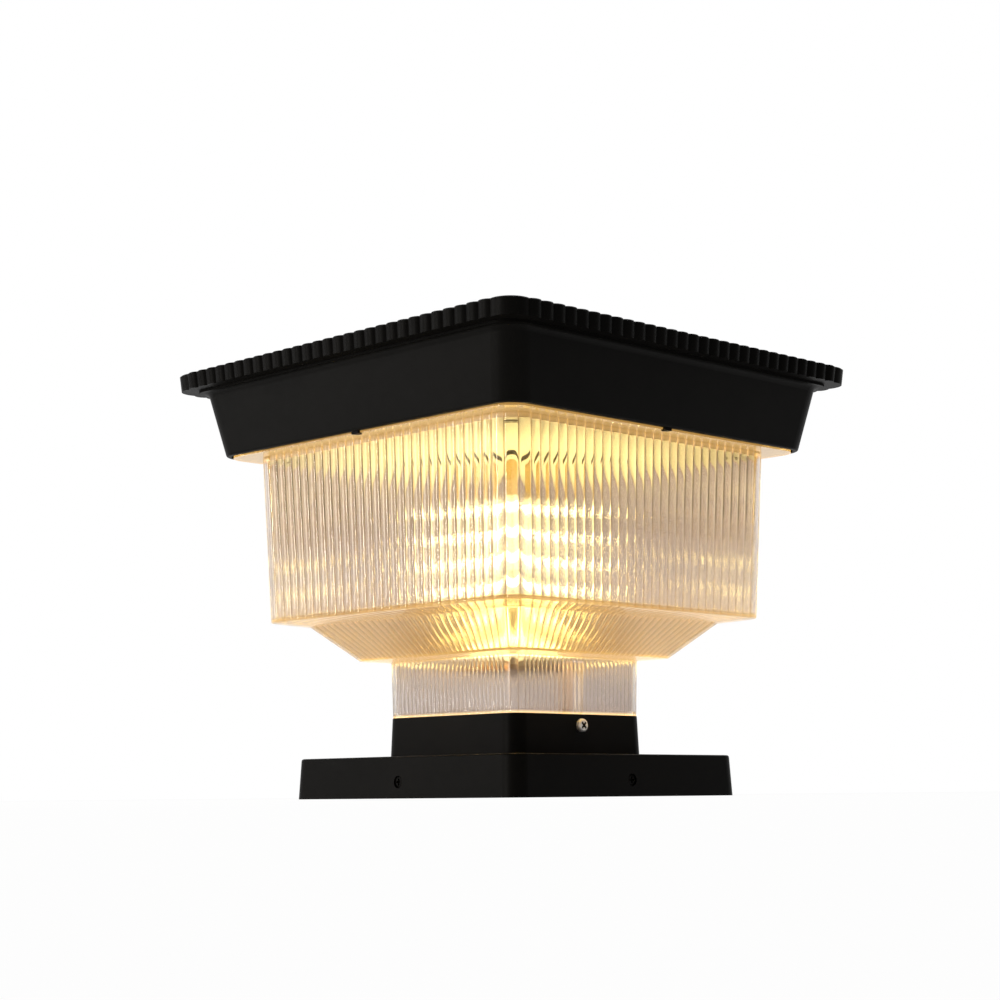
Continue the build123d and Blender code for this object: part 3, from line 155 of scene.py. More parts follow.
# Fine specks of haze in the smooth plastic, and the matt inside of the neck, which is clear near its top
SMOOTH_ROUGHNESS = 0.04
HAZE_ROUGHNESS = 0.3
HAZE_SCALE = 15000.0
HAZE_START = 0.69
HAZE_FULL = 0.71
FROST_TINT = (0.68, 0.615, 0.595)
FROST_ROUGHNESS = 0.26
CLEAR_ROUGHNESS = 0.05
FROST_STOP = 5.0 * MM
FROST_FADE = 7.0 * MM

# Upright draw lines inside the box and slope, under a smooth skin. They stop at a polished band, which starts
# at a share of the top lamps' height.
DRAW_LINE_SCALE = 20000.0
DRAW_LINE_STRETCH = (1.0, 1.0, 0.001)
FULL_LEAN = (0.25, 0.75)
DRAW_LINE_TILT = 1.3
SLOPE_LINE_TILT = 1.8
POLISHED_SHARE = 0.9
POLISH_FADE = 8.0 * MM
SKIN_ROUGHNESS = 0.03
SKIN_IOR = 1.8

# Lamp rows on the boards: pitch, and the half height of the painted glow round each row
ROW_PITCH = 16.2 * MM
ROW_GLOW = 3.2 * MM
GLOW_LEVEL = 1.0
GLOW_PEAK = 10.0
LAMP_COLOUR = (1.0, 0.9, 0.4)
LAMP_STRENGTH = 26.0

# Recess of the bright screws: reach from the axis, and depth at which its painted shade starts
RECESS_REACH = 2.6 * MM
RECESS_EDGE = 0.35 * MM

# Solar cells: the gaps between them, their printed lines, and the cover glass
CELLS_PER_SIDE = 4
CELL_GAP = 3.0 * MM
BUSBARS = 3
BUSBAR_HALF_WIDTH = 0.7 * MM
FINGER_SPACING = 2.2 * MM
FINGER_HALF_WIDTH = 0.08 * MM
GLASS_IOR = 1.5

# Noise scales and strengths that the plain finishes share
COLOUR_PATCHES = 35.0
GLOSS_PATCHES = 120.0
GLOW_PATCHES = 600.0
GLOW_DIMMEST = 0.92
GRAIN_STRENGTH = 0.35
STREAK_STRETCH = (1.0, 1.0, 8.0)
STREAK_STRENGTH = 0.1
STREAK_DEPTH = 0.05 * MM
STREAK_GLOSS = 0.08
RAMP_START = 0.3
RAMP_END = 0.7
SATIN_ROUGHNESS = 0.4


def new_material(name):
    """Material with a Principled shader, its node tree and the shader."""
    material = bpy.data.materials.new(name)
    material.use_nodes = True
    tree = material.node_tree
    return material, tree, tree.nodes["Principled BSDF"]


def clear_material(name, ior):
    """Material that lets light through."""
    material, tree, shader = new_material(name)
    shader.inputs["Transmission Weight"].default_value = 1.0
    shader.inputs["IOR"].default_value = ior
    return material, tree, shader


def add_node(tree, kind, **values):
    """Node of a kind with its properties or inputs set by name."""
    node = tree.nodes.new(kind)
    for key, value in values.items():
        if key in node.inputs:
            node.inputs[key].default_value = value
        else:
            setattr(node, key, value)
    return node


def feed(tree, socket, value):
    """Links a socket to another one, or sets it to a plain value."""
    if isinstance(value, bpy.types.NodeSocket):
        tree.links.new(value, socket)
    else:
        socket.default_value = value


def calculate(tree, operation, *values):
    """Result of a Math node on sockets or numbers."""
    node = add_node(tree, "ShaderNodeMath", operation=operation)
    for socket, value in zip(node.inputs, values):
        feed(tree, socket, value)
    return node.outputs["Value"]


def vector_math(tree, operation, *values, output="Vector"):
    """Result of a Vector Math node on sockets or vectors."""
    node = add_node(tree, "ShaderNodeVectorMath", operation=operation)
    for socket, value in zip(node.inputs, values):
        feed(tree, socket, value)
    return node.outputs[output]


def map_range(tree, source, span, to=(0.0, 1.0), **settings):
    """A source carried from one span to another."""
    node = add_node(tree, "ShaderNodeMapRange", **settings)
    for key, value in zip(("From Min", "From Max", "To Min", "To Max"), (*span, *to)):
        node.inputs[key].default_value = value
    tree.links.new(source, node.inputs["Value"])
    return node.outputs["Result"]


def spread(tree, source, low, high):
    """A 0 to 1 source spread over a range."""
    return map_range(tree, source, (0.0, 1.0), (low, high))


def mix_colour(tree, share, plain, painted):
    """Colour that goes from a plain one to a painted one by a share."""
    node = add_node(tree, "ShaderNodeMix", data_type="RGBA")
    node.inputs["B"].default_value = (*painted, 1.0)
    tree.links.new(share, node.inputs["Factor"])
    tree.links.new(plain, node.inputs["A"])
    return node.outputs["Result"]


def object_place(tree):
    """Point on the surface in the object's own metres."""
    return add_node(tree, "ShaderNodeTexCoord").outputs["Object"]


def split(tree, vector):
    """X, Y and Z of a vector."""
    node = add_node(tree, "ShaderNodeSeparateXYZ")
    tree.links.new(vector, node.inputs["Vector"])
    return node.outputs


def noise(tree, scale, detail=4.0, roughness=0.55, stretch=None):
    """Noise in the object's own metres, stretched along its axes if asked."""
    vector = object_place(tree)
    if stretch:
        mapping = add_node(tree, "ShaderNodeMapping", Scale=stretch)
        tree.links.new(vector, mapping.inputs["Vector"])
        vector = mapping.outputs["Vector"]
    texture = add_node(tree, "ShaderNodeTexNoise", Scale=scale, Detail=detail, Roughness=roughness)
    tree.links.new(vector, texture.inputs["Vector"])
    return texture.outputs["Fac"]


def ramp(tree, source, low, high):
    """Colour ramp between two colours."""
    node = tree.nodes.new("ShaderNodeValToRGB")
    ends = zip(node.color_ramp.elements, (RAMP_START, RAMP_END), (low, high))
    for element, position, colour in ends:
        element.position = position
        element.color = (*colour, 1.0)
    tree.links.new(source, node.inputs["Fac"])
    return node.outputs["Color"]


def by_height(tree, stops):
    """A colour given at several heights and blended between them."""
    low = stops[0][0]
    span = stops[-1][0] - low
    share = map_range(tree, split(tree, object_place(tree))["Z"], (low, low + span))
    node = tree.nodes.new("ShaderNodeValToRGB")
    elements = node.color_ramp.elements
    while len(elements) < len(stops):
        elements.new(1.0)
    for element, (z, colour) in zip(elements, stops):
        element.position = (z - low) / span
        element.color = (*colour, 1.0)
    tree.links.new(share, node.inputs["Fac"])
    return node.outputs["Color"]


def level_by_height(tree, stops):
    """A level given at several heights and blended between them."""
    return by_height(tree, [(z, (level,) * 3) for z, level in stops])


def bump(tree, shader, height, strength, distance):
    """Bump on a shader's normal."""
    node = add_node(tree, "ShaderNodeBump", Strength=strength, Distance=distance)
    tree.links.new(height, node.inputs["Height"])
    tree.links.new(node.outputs["Normal"], shader.inputs["Normal"])


def grained_plastic(name, dark, light, roughness, grain, depth, specular):
    """Moulded plastic or coating: fine grain, slight colour and gloss variation."""
    material, tree, shader = new_material(name)
    tree.links.new(ramp(tree, noise(tree, COLOUR_PATCHES), dark, light), shader.inputs["Base Color"])
    tree.links.new(spread(tree, noise(tree, GLOSS_PATCHES), *roughness), shader.inputs["Roughness"])
    shader.inputs["Specular IOR Level"].default_value = specular
    bump(tree, shader, noise(tree, grain, detail=2.0), GRAIN_STRENGTH, depth)
    return material


def brushed_metal(name, dark, light, roughness, scale, metallic=1.0):
    """Turned or plated metal with fine streaks."""
    material, tree, shader = new_material(name)
    shader.inputs["Metallic"].default_value = metallic
    streaks = noise(tree, scale, detail=5.0, roughness=0.5, stretch=STREAK_STRETCH)
    tree.links.new(ramp(tree, streaks, dark, light), shader.inputs["Base Color"])
    gloss = spread(tree, streaks, roughness - STREAK_GLOSS, roughness + STREAK_GLOSS)
    tree.links.new(gloss, shader.inputs["Roughness"])
    bump(tree, shader, streaks, STREAK_STRENGTH, STREAK_DEPTH)
    return material


def glowing(name, colour, strength, base):
    """Face that gives light, a little unevenly: a lit phosphor, or a painted glow on pale plastic that stands
    in for the lamps' light.
    """
    material, tree, shader = new_material(name)
    shader.inputs["Base Color"].default_value = (*base, 1.0)
    dimmer = [GLOW_DIMMEST * part for part in colour]
    tree.links.new(ramp(tree, noise(tree, GLOW_PATCHES), dimmer, colour), shader.inputs["Emission Color"])
    shader.inputs["Emission Strength"].default_value = strength
    shader.inputs["Roughness"].default_value = SATIN_ROUGHNESS
    return material


def shade_tint():
    """Tint by height: the neck's own, painted amber lamplight in the slope and flange, and the plain one in
    the box.
    """
    return [
        (spigot_bottom, NECK_TINT),
        (neck_top_z - 1.0 * MM, NECK_TINT),
        (slope_z, PAINTED_LAMPLIGHT_TINT),
        (box_z + 1.0 * MM, PAINTED_LAMPLIGHT_TINT),
        (box_z + 4.0 * MM, SHADE_TINT),
        (flange_z - 1.0 * MM, SHADE_TINT),
        (flange_z, PAINTED_LAMPLIGHT_TINT),
        (flange_top, PAINTED_LAMPLIGHT_TINT),
    ]


def shade_painted_glow():
    """Levels of the painted glow for the lamps' light that the plastic scatters, by height: strongest at its
    edges and ledges.
    """
    foot_line = [
        (spigot_bottom, 0.0),
        (collar_top - 0.5 * MM, 0.55),
        (collar_top + 1.0 * MM, 0.45),
        (collar_top + 1.6 * MM, 0.0),
    ]
    neck_and_its_ledge = [
        (neck_top_z - 14.0 * MM, 0.0),
        (neck_top_z - 1.2 * MM, 0.03),
        (neck_top_z, 0.25),
        (slope_z + 0.8 * MM, 0.25),
    ]
    slope_and_its_ledge = [
        (slope_z + 1.6 * MM, 0.04),
        (slope_top_z - 0.6 * MM, 0.04),
        (slope_top_z + 0.4 * MM, 0.08),
        (box_z + 0.9 * MM, 0.1),
    ]
    box = [
        (box_z + 1.8 * MM, 0.04),
        (box_z + 25.0 * MM, 0.01),
        (flange_z - 30.0 * MM, 0.01),
        (flange_z - 3.4 * MM, 0.02),
    ]
    flange = [
        (flange_z - 2.4 * MM, 0.18),
        (flange_z - 0.3 * MM, 0.22),
        (flange_z, 0.16),
        (flange_top, 0.2),
    ]
    return foot_line + neck_and_its_ledge + slope_and_its_ledge + box + flange


def drawn_normal(tree):
    """Surface normal with fine upright draw lines from the mould, which spread light sideways."""
    lines = noise(tree, DRAW_LINE_SCALE, detail=1.0, roughness=0.5, stretch=DRAW_LINE_STRETCH)
    lean = map_range(tree, lines, FULL_LEAN, (-1.0, 1.0), clamp=False)
    mostly_flat = calculate(tree, "MULTIPLY", lean, calculate(tree, "ABSOLUTE", lean))
    polished_z = POLISHED_SHARE * chip_high.z
    strength = level_by_height(tree, [
        (spigot_bottom, SLOPE_LINE_TILT),
        (slope_top_z, SLOPE_LINE_TILT),
        (box_z, DRAW_LINE_TILT),
        (polished_z, DRAW_LINE_TILT),
        (polished_z + POLISH_FADE, 0.0),
        (flange_top, 0.0),
    ])
    tilt = calculate(tree, "MULTIPLY", mostly_flat, strength)
    normal = add_node(tree, "ShaderNodeNewGeometry").outputs["Normal"]
    sideways = vector_math(tree, "CROSS_PRODUCT", (0.0, 0.0, 1.0), normal)
    shift = add_node(tree, "ShaderNodeVectorMath", operation="SCALE")
    tree.links.new(sideways, shift.inputs[0])
    tree.links.new(tilt, shift.inputs["Scale"])
    tilted = vector_math(tree, "ADD", normal, shift.outputs["Vector"])
    return vector_math(tree, "NORMALIZE", tilted)


def clear_plastic(name, drawn):
    """Clear warm moulding of the shade, with painted amber and painted glow where it carries the lamps'
    light. Draw lines if asked.
    """
    material, tree, shader = clear_material(name, PLASTIC_IOR)
    valley = add_node(tree, "ShaderNodeAttribute", attribute_name="valley").outputs["Fac"]
    lines = map_range(tree, valley, (VALLEY_START, 1.0))
    # Painted shade: dark brown in the valleys, over the painted amber lamplight by height
    tint = mix_colour(tree, lines, by_height(tree, shade_tint()), VALLEY_PAINTED_SHADE)
    tree.links.new(tint, shader.inputs["Base Color"])
    specks = noise(tree, HAZE_SCALE, detail=1.0)
    haze = map_range(tree, specks, (HAZE_START, HAZE_FULL), (SMOOTH_ROUGHNESS, HAZE_ROUGHNESS))
    tree.links.new(haze, shader.inputs["Roughness"])
    # Painted glow for the lamps' light scattered in the plastic, a little stronger in the valleys
    shader.inputs["Emission Color"].default_value = (*PAINTED_GLOW_COLOUR, 1.0)
    glow = calculate(tree, "MULTIPLY_ADD", lines, VALLEY_PAINTED_GLOW, level_by_height(tree, shade_painted_glow()))
    tree.links.new(glow, shader.inputs["Emission Strength"])
    if drawn:
        tree.links.new(drawn_normal(tree), shader.inputs["Normal"])
        shader.inputs["Coat Weight"].default_value = 1.0
        shader.inputs["Coat Roughness"].default_value = SKIN_ROUGHNESS
        shader.inputs["Coat IOR"].default_value = SKIN_IOR
    return material


def frosted_plastic():
    """Inside of the neck: a fine matt texture that hides what is behind it, clear towards the top."""
    material, tree, shader = clear_material("clear_frosted", PLASTIC_IOR)
    shader.inputs["Base Color"].default_value = (*FROST_TINT, 1.0)
    roughness = level_by_height(tree, [
        (spigot_bottom, FROST_ROUGHNESS),
        (neck_top_z - FROST_STOP - FROST_FADE, FROST_ROUGHNESS),
        (neck_top_z - FROST_STOP, CLEAR_ROUGHNESS),
        (neck_top_z, CLEAR_ROUGHNESS),
    ])
    tree.links.new(roughness, shader.inputs["Roughness"])
    return material


def boss_plastic():
    """Side walls of the neck's screw bosses, with a painted glow for the lamps' light, seen as bright upright
    lines.
    """
    material, tree, shader = clear_material("clear_boss", PLASTIC_IOR)
    shader.inputs["Base Color"].default_value = (*SHADE_TINT, 1.0)
    tree.links.new(spread(tree, noise(tree, 900.0), 0.05, 0.15), shader.inputs["Roughness"])
    shader.inputs["Emission Color"].default_value = (*PAINTED_GLOW_COLOUR, 1.0)
    glow = level_by_height(tree, [(spigot_bottom, 0.0), (collar_top, 0.08), (neck_top_z, 0.3)])
    tree.links.new(glow, shader.inputs["Emission Strength"])
    return material


def steel_with_painted_recess_shade():
    """Bright screw head, with painted shade in its deep cross recess."""
    material, tree, shader = new_material("steel_with_painted_recess_shade")
    shader.inputs["Metallic"].default_value = 0.4
    screw_middle = (0.0, 0.0, (screw_low.z + screw_high.z) / 2)
    centred = vector_math(tree, "SUBTRACT", object_place(tree), screw_middle)
    across = vector_math(tree, "MULTIPLY", centred, (0.0, 1.0, 1.0))
    from_axis = vector_math(tree, "LENGTH", across, output="Value")
    central = calculate(tree, "LESS_THAN", from_axis, RECESS_REACH)
    reach = calculate(tree, "ABSOLUTE", split(tree, centred)["X"])
    sunk = calculate(tree, "LESS_THAN", reach, screw_high.x - RECESS_EDGE)
    recess = calculate(tree, "MULTIPLY", central, sunk)
    # Painted shade: the recess is coloured near black
    steel_and_painted_shade = ramp(tree, recess, (0.92, 0.9, 0.87), (0.006, 0.005, 0.004))
    tree.links.new(steel_and_painted_shade, shader.inputs["Base Color"])
    tree.links.new(spread(tree, noise(tree, 400.0), 0.25, 0.4), shader.inputs["Roughness"])
    return material


def pale_with_painted_shade_sides():
    """Pale moulding seen from below, with painted shade on its upright sides."""
    material, tree, shader = new_material("pale_with_painted_shade_sides")
    normal = add_node(tree, "ShaderNodeNewGeometry").outputs["Normal"]
    upright = calculate(tree, "ABSOLUTE", split(tree, normal)["Z"])
    # Painted shade: faces that stand upright are coloured near black
    colour = ramp(tree, upright, (0.02, 0.016, 0.008), (0.86, 0.84, 0.78))
    tree.links.new(colour, shader.inputs["Base Color"])
    tree.links.new(spread(tree, noise(tree, 300.0), 0.4, 0.55), shader.inputs["Roughness"])
    return material


def line_mask(tree, source, spacing, half_width):
    """1 on lines at each multiple of a spacing, 0 between them."""
    return calculate(tree, "LESS_THAN", calculate(tree, "PINGPONG", source, spacing / 2), half_width)


def solar_silicon():
    """Dark blue cells with thin silver fingers along Y and three busbars along X on each cell."""
    material, tree, shader = new_material("solar_cell")
    cell_pitch = (cells_high.x - cells_low.x + CELL_GAP) / CELLS_PER_SIDE
    place = split(tree, object_place(tree))
    in_cell = calculate(tree, "WRAP", place["Y"], cell_pitch, 0.0)
    from_middle = calculate(tree, "SUBTRACT", in_cell, cell_pitch / 2)
    busbars = line_mask(tree, from_middle, cell_pitch / BUSBARS, BUSBAR_HALF_WIDTH)
    fingers = line_mask(tree, place["X"], FINGER_SPACING, FINGER_HALF_WIDTH)
    lines = calculate(tree, "MAXIMUM", busbars, fingers)
    silicon = ramp(tree, noise(tree, 90.0, detail=6.0), (0.006, 0.018, 0.13), (0.012, 0.034, 0.21))
    paint = mix_colour(tree, lines, silicon, (0.45, 0.46, 0.48))
    tree.links.new(paint, shader.inputs["Base Color"])
    tree.links.new(spread(tree, lines, 0.3, 0.45), shader.inputs["Roughness"])
    return material


def panel_glass():
    """Clear flat cover glass with a faint pressed grain."""
    material, tree, shader = clear_material("panel_glass", GLASS_IOR)
    shader.inputs["Base Color"].default_value = (0.95, 0.97, 0.97, 1.0)
    tree.links.new(spread(tree, noise(tree, 60.0), 0.02, 0.08), shader.inputs["Roughness"])
    bump(tree, shader, noise(tree, 1200.0, detail=2.0), strength=0.05, distance=0.02 * MM)
    return material


def glowing_board():
    """White lamp board with a painted glow in bands round its rows of lamps."""
    material, tree, shader = new_material("board_painted_glow")
    white = ramp(tree, noise(tree, 300.0), (0.8, 0.79, 0.75), (0.86, 0.85, 0.8))
    tree.links.new(white, shader.inputs["Base Color"])
    shader.inputs["Roughness"].default_value = SATIN_ROUGHNESS
    shader.inputs["Emission Color"].default_value = (*LAMP_COLOUR, 1.0)
    level = calculate(tree, "SUBTRACT", split(tree, object_place(tree))["Z"], lamp_middle_z)
    from_gap = calculate(tree, "PINGPONG", level, ROW_PITCH / 2)
    band = (ROW_PITCH / 2 - ROW_GLOW, ROW_PITCH / 2)
    glow = map_range(tree, from_gap, band, (GLOW_LEVEL, GLOW_PEAK), interpolation_type="SMOOTHERSTEP")
    tree.links.new(glow, shader.inputs["Emission Strength"])
    return material


def dress(material, *names):
    """Gives CAD nodes a material."""
    for name in names:
        data = nodes[name].data
        data.materials.clear()
        data.materials.append(material)


def side_point(half, corner, rise, place):
    """Point of a ribbed, round-cornered square at a place counted in ribs, on the side that faces -Y."""
    valley = half - rise
    straight = valley - corner
    rib = int(place)
    turn = (place - rib - 0.5) * pi
    along = rib + 0.5 + 0.5 * sin(turn)
    lift = rise * cos(turn)
    if rib < RIBS_PER_SIDE:
        return Vector((-straight + along * 2 * straight / RIBS_PER_SIDE, -valley - lift, 0.0))
    angle = -radians(90.0) + (along - RIBS_PER_SIDE) * radians(90.0) / RIBS_PER_CORNER
    reach = corner + lift
    return Vector((straight + reach * cos(angle), -straight + reach * sin(angle), 0.0))


def ring(half, z, corner, rise, boss=0.0):
    """Closed row of points round the shade at one level. A boss pushes the X sides' middles inwards."""
    points = []
    count = (RIBS_PER_SIDE + RIBS_PER_CORNER) * RIB_STEPS
    for quarter in range(4):
        turn = Matrix.Rotation(radians(90.0) * quarter, 3, "Z")
        for step in range(count):
            point = turn @ side_point(half, corner, rise, step / RIB_STEPS)
            if boss > 0.0 and abs(point.y) < BOSS_HALF_WIDTH:
                point.x -= boss if point.x > 0 else -boss
            points.append((point.x, point.y, z))
    return points


def valley_depths(ribbed):
    """How near a ring's points are to a valley between ribs: 1 in it, 0 on a crest or a plain ring."""
    count = 4 * (RIBS_PER_SIDE + RIBS_PER_CORNER) * RIB_STEPS
    if not ribbed:
        return [0.0] * count
    return [1.0 - sin(pi * (step % RIB_STEPS) / RIB_STEPS) for step in range(count)]


def rounded(profile, radius, steps):
    """Profile of (half, z, corner, rise) with its inner corners rounded by short arcs."""
    out = [profile[0]]
    for before, here, after in zip(profile, profile[1:], profile[2:]):
        p = Vector(here[:2])
        to_before = (Vector(before[:2]) - p).normalized()
        to_after = (Vector(after[:2]) - p).normalized()
        half_angle = to_before.angle(to_after) / 2
        reach = radius / tan(half_angle)
        centre = p + (to_before + to_after).normalized() * (radius / sin(half_angle))
        first = p + to_before * reach - centre
        last = p + to_after * reach - centre
        for step in range(steps + 1):
            share = step / steps
            spoke = first.slerp(last, share) * radius if first.angle(last) > STRAIGHT_ANGLE else first
            place = centre + spoke
            rise = before[3] + (after[3] - before[3]) * share if before[3] != after[3] else here[3]
            out.append((place.x, place.y, here[2], rise))
    out.append(profile[-1])
    return out


def outer_profile():
    """Crests of the shade's forms from the flange down: half side, level, corner radius and rib rise."""
    return [
        (BOX_TOP_HALF, flange_z, BOX_CORNER, BOX_RIB),
        (BOX_BOTTOM_HALF, box_z, BOX_CORNER, BOX_RIB),
        (SLOPE_TOP_HALF, slope_top_z, SLOPE_TOP_CORNER, SLOPE_RIB),
        (SLOPE_BOTTOM_HALF, slope_z, SLOPE_BOTTOM_CORNER, SLOPE_RIB),
        (NECK_TOP_HALF, neck_top_z, NECK_CORNER, NECK_RIB),
        (NECK_BOTTOM_HALF, collar_top, NECK_CORNER, NECK_RIB),
    ]


def inner_profile(outside):
    """The same forms one wall further in, without ribs."""
    valleys = [Vector((half - rise, z)) for half, z, corner, rise in outside]
    normals = []
    for a, b in zip(valleys, valleys[1:]):
        run = (b - a).normalized()
        normals.append(Vector((run.y, -run.x)))
    inside = []
    for index, (valley, (half, z, corner, rise)) in enumerate(zip(valleys, outside)):
        before = normals[max(index - 1, 0)]
        after = normals[min(index, len(normals) - 1)]
        shift = (before + after) * (SHADE_WALL / (1 + before.dot(after)))
        inside.append((valley.x + shift.x, valley.y + shift.y, corner - SHADE_WALL, 0.0))
    inside[0] = (inside[0][0], flange_z, *inside[0][2:])
    inside[-1] = (inside[-1][0], foot_z, *inside[-1][2:])
    return inside


def mesh_piece(name, points, faces, materials, sharp_angle):
    """Mesh object with smooth faces, and sharp edges past an angle."""
    mesh = bpy.data.meshes.new(name)
    mesh.from_pydata(points, [], faces)
    mesh.update()
    mesh.shade_smooth()
    mesh.set_sharp_from_angle(angle=sharp_angle)
    for material in materials:
        mesh.materials.append(material)
    piece = bpy.data.objects.new(name, mesh)
    scene.collection.objects.link(piece)
    return piece


def shade_piece(materials):
    """The ribbed shade as one closed skin: down the outside, then up the inside."""
    outside = outer_profile()
    inside = inner_profile(outside)
    contact_z = flange_top + GASKET_SQUEEZE
    rings = [
        ring(inside[0][0], contact_z, BOX_CORNER - SHADE_WALL, 0.0),
        ring(flange_half, contact_z, FLANGE_CORNER, 0.0),
        ring(flange_half, flange_z, FLANGE_CORNER, 0.0),
    ]
    first_ribbed = len(rings)
    rings += [ring(*section) for section in rounded(outside, EDGE_ROUND, EDGE_STEPS)]
    ribbed_rows = range(first_ribbed, len(rings))

    spigot_inner = SPIGOT_HALF - SPIGOT_WALL
    spigot_inner_corner = SPIGOT_CORNER - SPIGOT_WALL
    rings.append(ring(SPIGOT_HALF, collar_top, SPIGOT_CORNER, 0.0))
    rings.append(ring(SPIGOT_HALF, spigot_bottom, SPIGOT_CORNER, 0.0))
    rings.append(ring(spigot_inner, spigot_bottom, spigot_inner_corner, 0.0, BOSS_DEPTH))
    rings.append(ring(spigot_inner, foot_z, spigot_inner_corner, 0.0, BOSS_DEPTH))
    foot_row = len(rings) - 1

    neck_foot = inside[-1]
    lip = neck_foot[0] - spigot_inner
    neck_half = neck_foot[0] + (inside[-2][0] - neck_foot[0]) * BOSS_TOP_RISE / NECK_TOP_RISE
    boss_top = (neck_half, boss_top_z, *neck_foot[2:])
    rings.append(ring(*neck_foot, boss=BOSS_DEPTH + lip))
    rings.append(ring(*boss_top, boss=BOSS_DEPTH + lip))
    rings.append(ring(*boss_top))
    inner_row = len(rings) - 1
    climbing = rounded([boss_top] + inside[-2::-1], EDGE_ROUND / 2, EDGE_STEPS)
    rings += [ring(*section) for section in climbing[1:]]

    width = len(rings[0])
    faces = []
    finishes = []
    for row in range(len(rings)):
        following = (row + 1) % len(rings)
        for step in range(width):
            beside = (step + 1) % width
            faces.append((
                row * width + step,
                following * width + step,
                following * width + beside,
                row * width + beside,
            ))
            in_neck = foot_row <= row < inner_row
            step_in = abs(abs(rings[row][step][0]) - abs(rings[row][beside][0]))
            on_x_side = abs(rings[row][step][1]) < 2 * BOSS_HALF_WIDTH
            if in_neck and on_x_side and step_in > BOSS_DEPTH / 2:
                finishes.append(BOSS_WALL)
            elif in_neck:
                finishes.append(FROSTED)
            else:
                finishes.append(DRAWN if row >= inner_row else PLAIN)
    points = [point for row in rings for point in row]
    piece = mesh_piece("shade_skin", points, faces, materials, SHARP_ANGLE)
    piece.data.polygons.foreach_set("material_index", finishes)
    depths = []
    for row in range(len(rings)):
        depths += valley_depths(row in ribbed_rows)
    piece.data.attributes.new("valley", "FLOAT", "POINT").data.foreach_set("value", depths)
    return piece


def make_camera():
    """Camera at the photograph's place, aimed by yaw, pitch and roll."""
    aim = Vector((
        -sin(CAMERA_YAW) * cos(CAMERA_PITCH),
        cos(CAMERA_YAW) * cos(CAMERA_PITCH),
        sin(CAMERA_PITCH),
    ))
    right = aim.cross(Vector((0, 0, 1))).normalized()
    up = right.cross(aim)
    rolled_right = right * cos(CAMERA_ROLL) + up * sin(CAMERA_ROLL)
    rolled_up = up * cos(CAMERA_ROLL) - right * sin(CAMERA_ROLL)
    data = bpy.data.cameras.new("camera")
    data.lens = CAMERA_LENS
    data.sensor_width = CAMERA_SENSOR
    data.sensor_fit = "HORIZONTAL"
    data.clip_start = CAMERA_NEAR
    data.clip_end = CAMERA_FAR
    camera = bpy.data.objects.new("camera", data)
    axes = Matrix((rolled_right, rolled_up, -aim)).transposed()
    camera.matrix_world = Matrix.Translation(CAMERA_PLACE) @ axes.to_4x4()
    scene.collection.objects.link(camera)
    scene.camera = camera


def shown_rays(tree, path):
    """1 for rays from the camera, off gloss or through clear plastic, 0 for the rest."""
    seen = calculate(tree, "MAXIMUM", path["Is Camera Ray"], path["Is Glossy Ray"])
    return calculate(tree, "MAXIMUM", seen, path["Is Transmission Ray"])


def mix_shaders(tree, share, plain, shown, output_kind):
    """Sends a mix of two shaders to the tree's output."""
    mix = add_node(tree, "ShaderNodeMixShader")
    tree.links.new(share, mix.inputs["Fac"])
    tree.links.new(plain.outputs[0], mix.inputs[1])
    tree.links.new(shown.outputs[0], mix.inputs[2])
    output = add_node(tree, output_kind)
    tree.links.new(mix.outputs["Shader"], output.inputs["Surface"])


def make_world():
    """White to the camera, and a weak soft light on the object.

    Gloss and clear plastic see a white backdrop behind the object and a dim room in front of it.
    """
    world = bpy.data.worlds.new("studio")
    scene.world = world
    world.use_nodes = True
    tree = world.node_tree
    tree.nodes.clear()
    path = add_node(tree, "ShaderNodeLightPath").outputs
    soft = add_node(tree, "ShaderNodeBackground", Color=(1.0, 1.0, 1.0, 1.0), Strength=SOFT_LEVEL)
    white = add_node(tree, "ShaderNodeBackground", Color=(1.0, 1.0, 1.0, 1.0))
    direction = add_node(tree, "ShaderNodeTexCoord").outputs["Generated"]
    behind = (-sin(CAMERA_YAW), cos(CAMERA_YAW), 0.0)
    facing = vector_math(tree, "DOT_PRODUCT", direction, behind, output="Value")
    backdrop = map_range(
        tree, facing, (BACKDROP_START, BACKDROP_FULL), (ROOM_LEVEL, BACKDROP_LEVEL),
        interpolation_type="SMOOTHSTEP",
    )
    level = calculate(tree, "MAXIMUM", path["Is Camera Ray"], backdrop)
    tree.links.new(level, white.inputs["Strength"])
    mix_shaders(tree, shown_rays(tree, path), soft, white, "ShaderNodeOutputWorld")


def make_floor():
    """Plain pale floor that fades into the white backdrop and keeps some of the shadow."""
    material = bpy.data.materials.new("floor")
    material.use_nodes = True
    tree = material.node_tree
    tree.nodes.clear()
    path = add_node(tree, "ShaderNodeLightPath").outputs
    paint = add_node(tree, "ShaderNodeBsdfDiffuse", Color=(FLOOR_GREY, FLOOR_GREY, FLOOR_GREY, 1.0))
    white = add_node(tree, "ShaderNodeEmission", Color=(1.0, 1.0, 1.0, 1.0), Strength=FLOOR_WHITE)
    share = calculate(tree, "MULTIPLY", shown_rays(tree, path), FLOOR_WHITE_SHARE)
    mix_shaders(tree, share, paint, white, "ShaderNodeOutputMaterial")
    corners = [(x * FLOOR_REACH, y * FLOOR_REACH, 0.0) for x, y in ((-1, -1), (1, -1), (1, 1), (-1, 1))]
    floor = mesh_piece("floor", corners, [(0, 1, 2, 3)], [material], pi)


def area_light(name, place, target, width, height, power, colour, hidden=False):
    """Soft rectangular lamp aimed at a target, and hidden from gloss if asked."""
    data = bpy.data.lights.new(name, "AREA")
    data.shape = "RECTANGLE"
    data.size = width
    data.size_y = height
    data.energy = power
    data.color = colour
    light = bpy.data.objects.new(name, data)
    light.location = place
    light.rotation_euler = (Vector(target) - Vector(place)).to_track_quat("-Z", "Y").to_euler()
    light.visible_camera = False
    light.visible_transmission = False
    light.visible_glossy = not hidden
    scene.collection.objects.link(light)


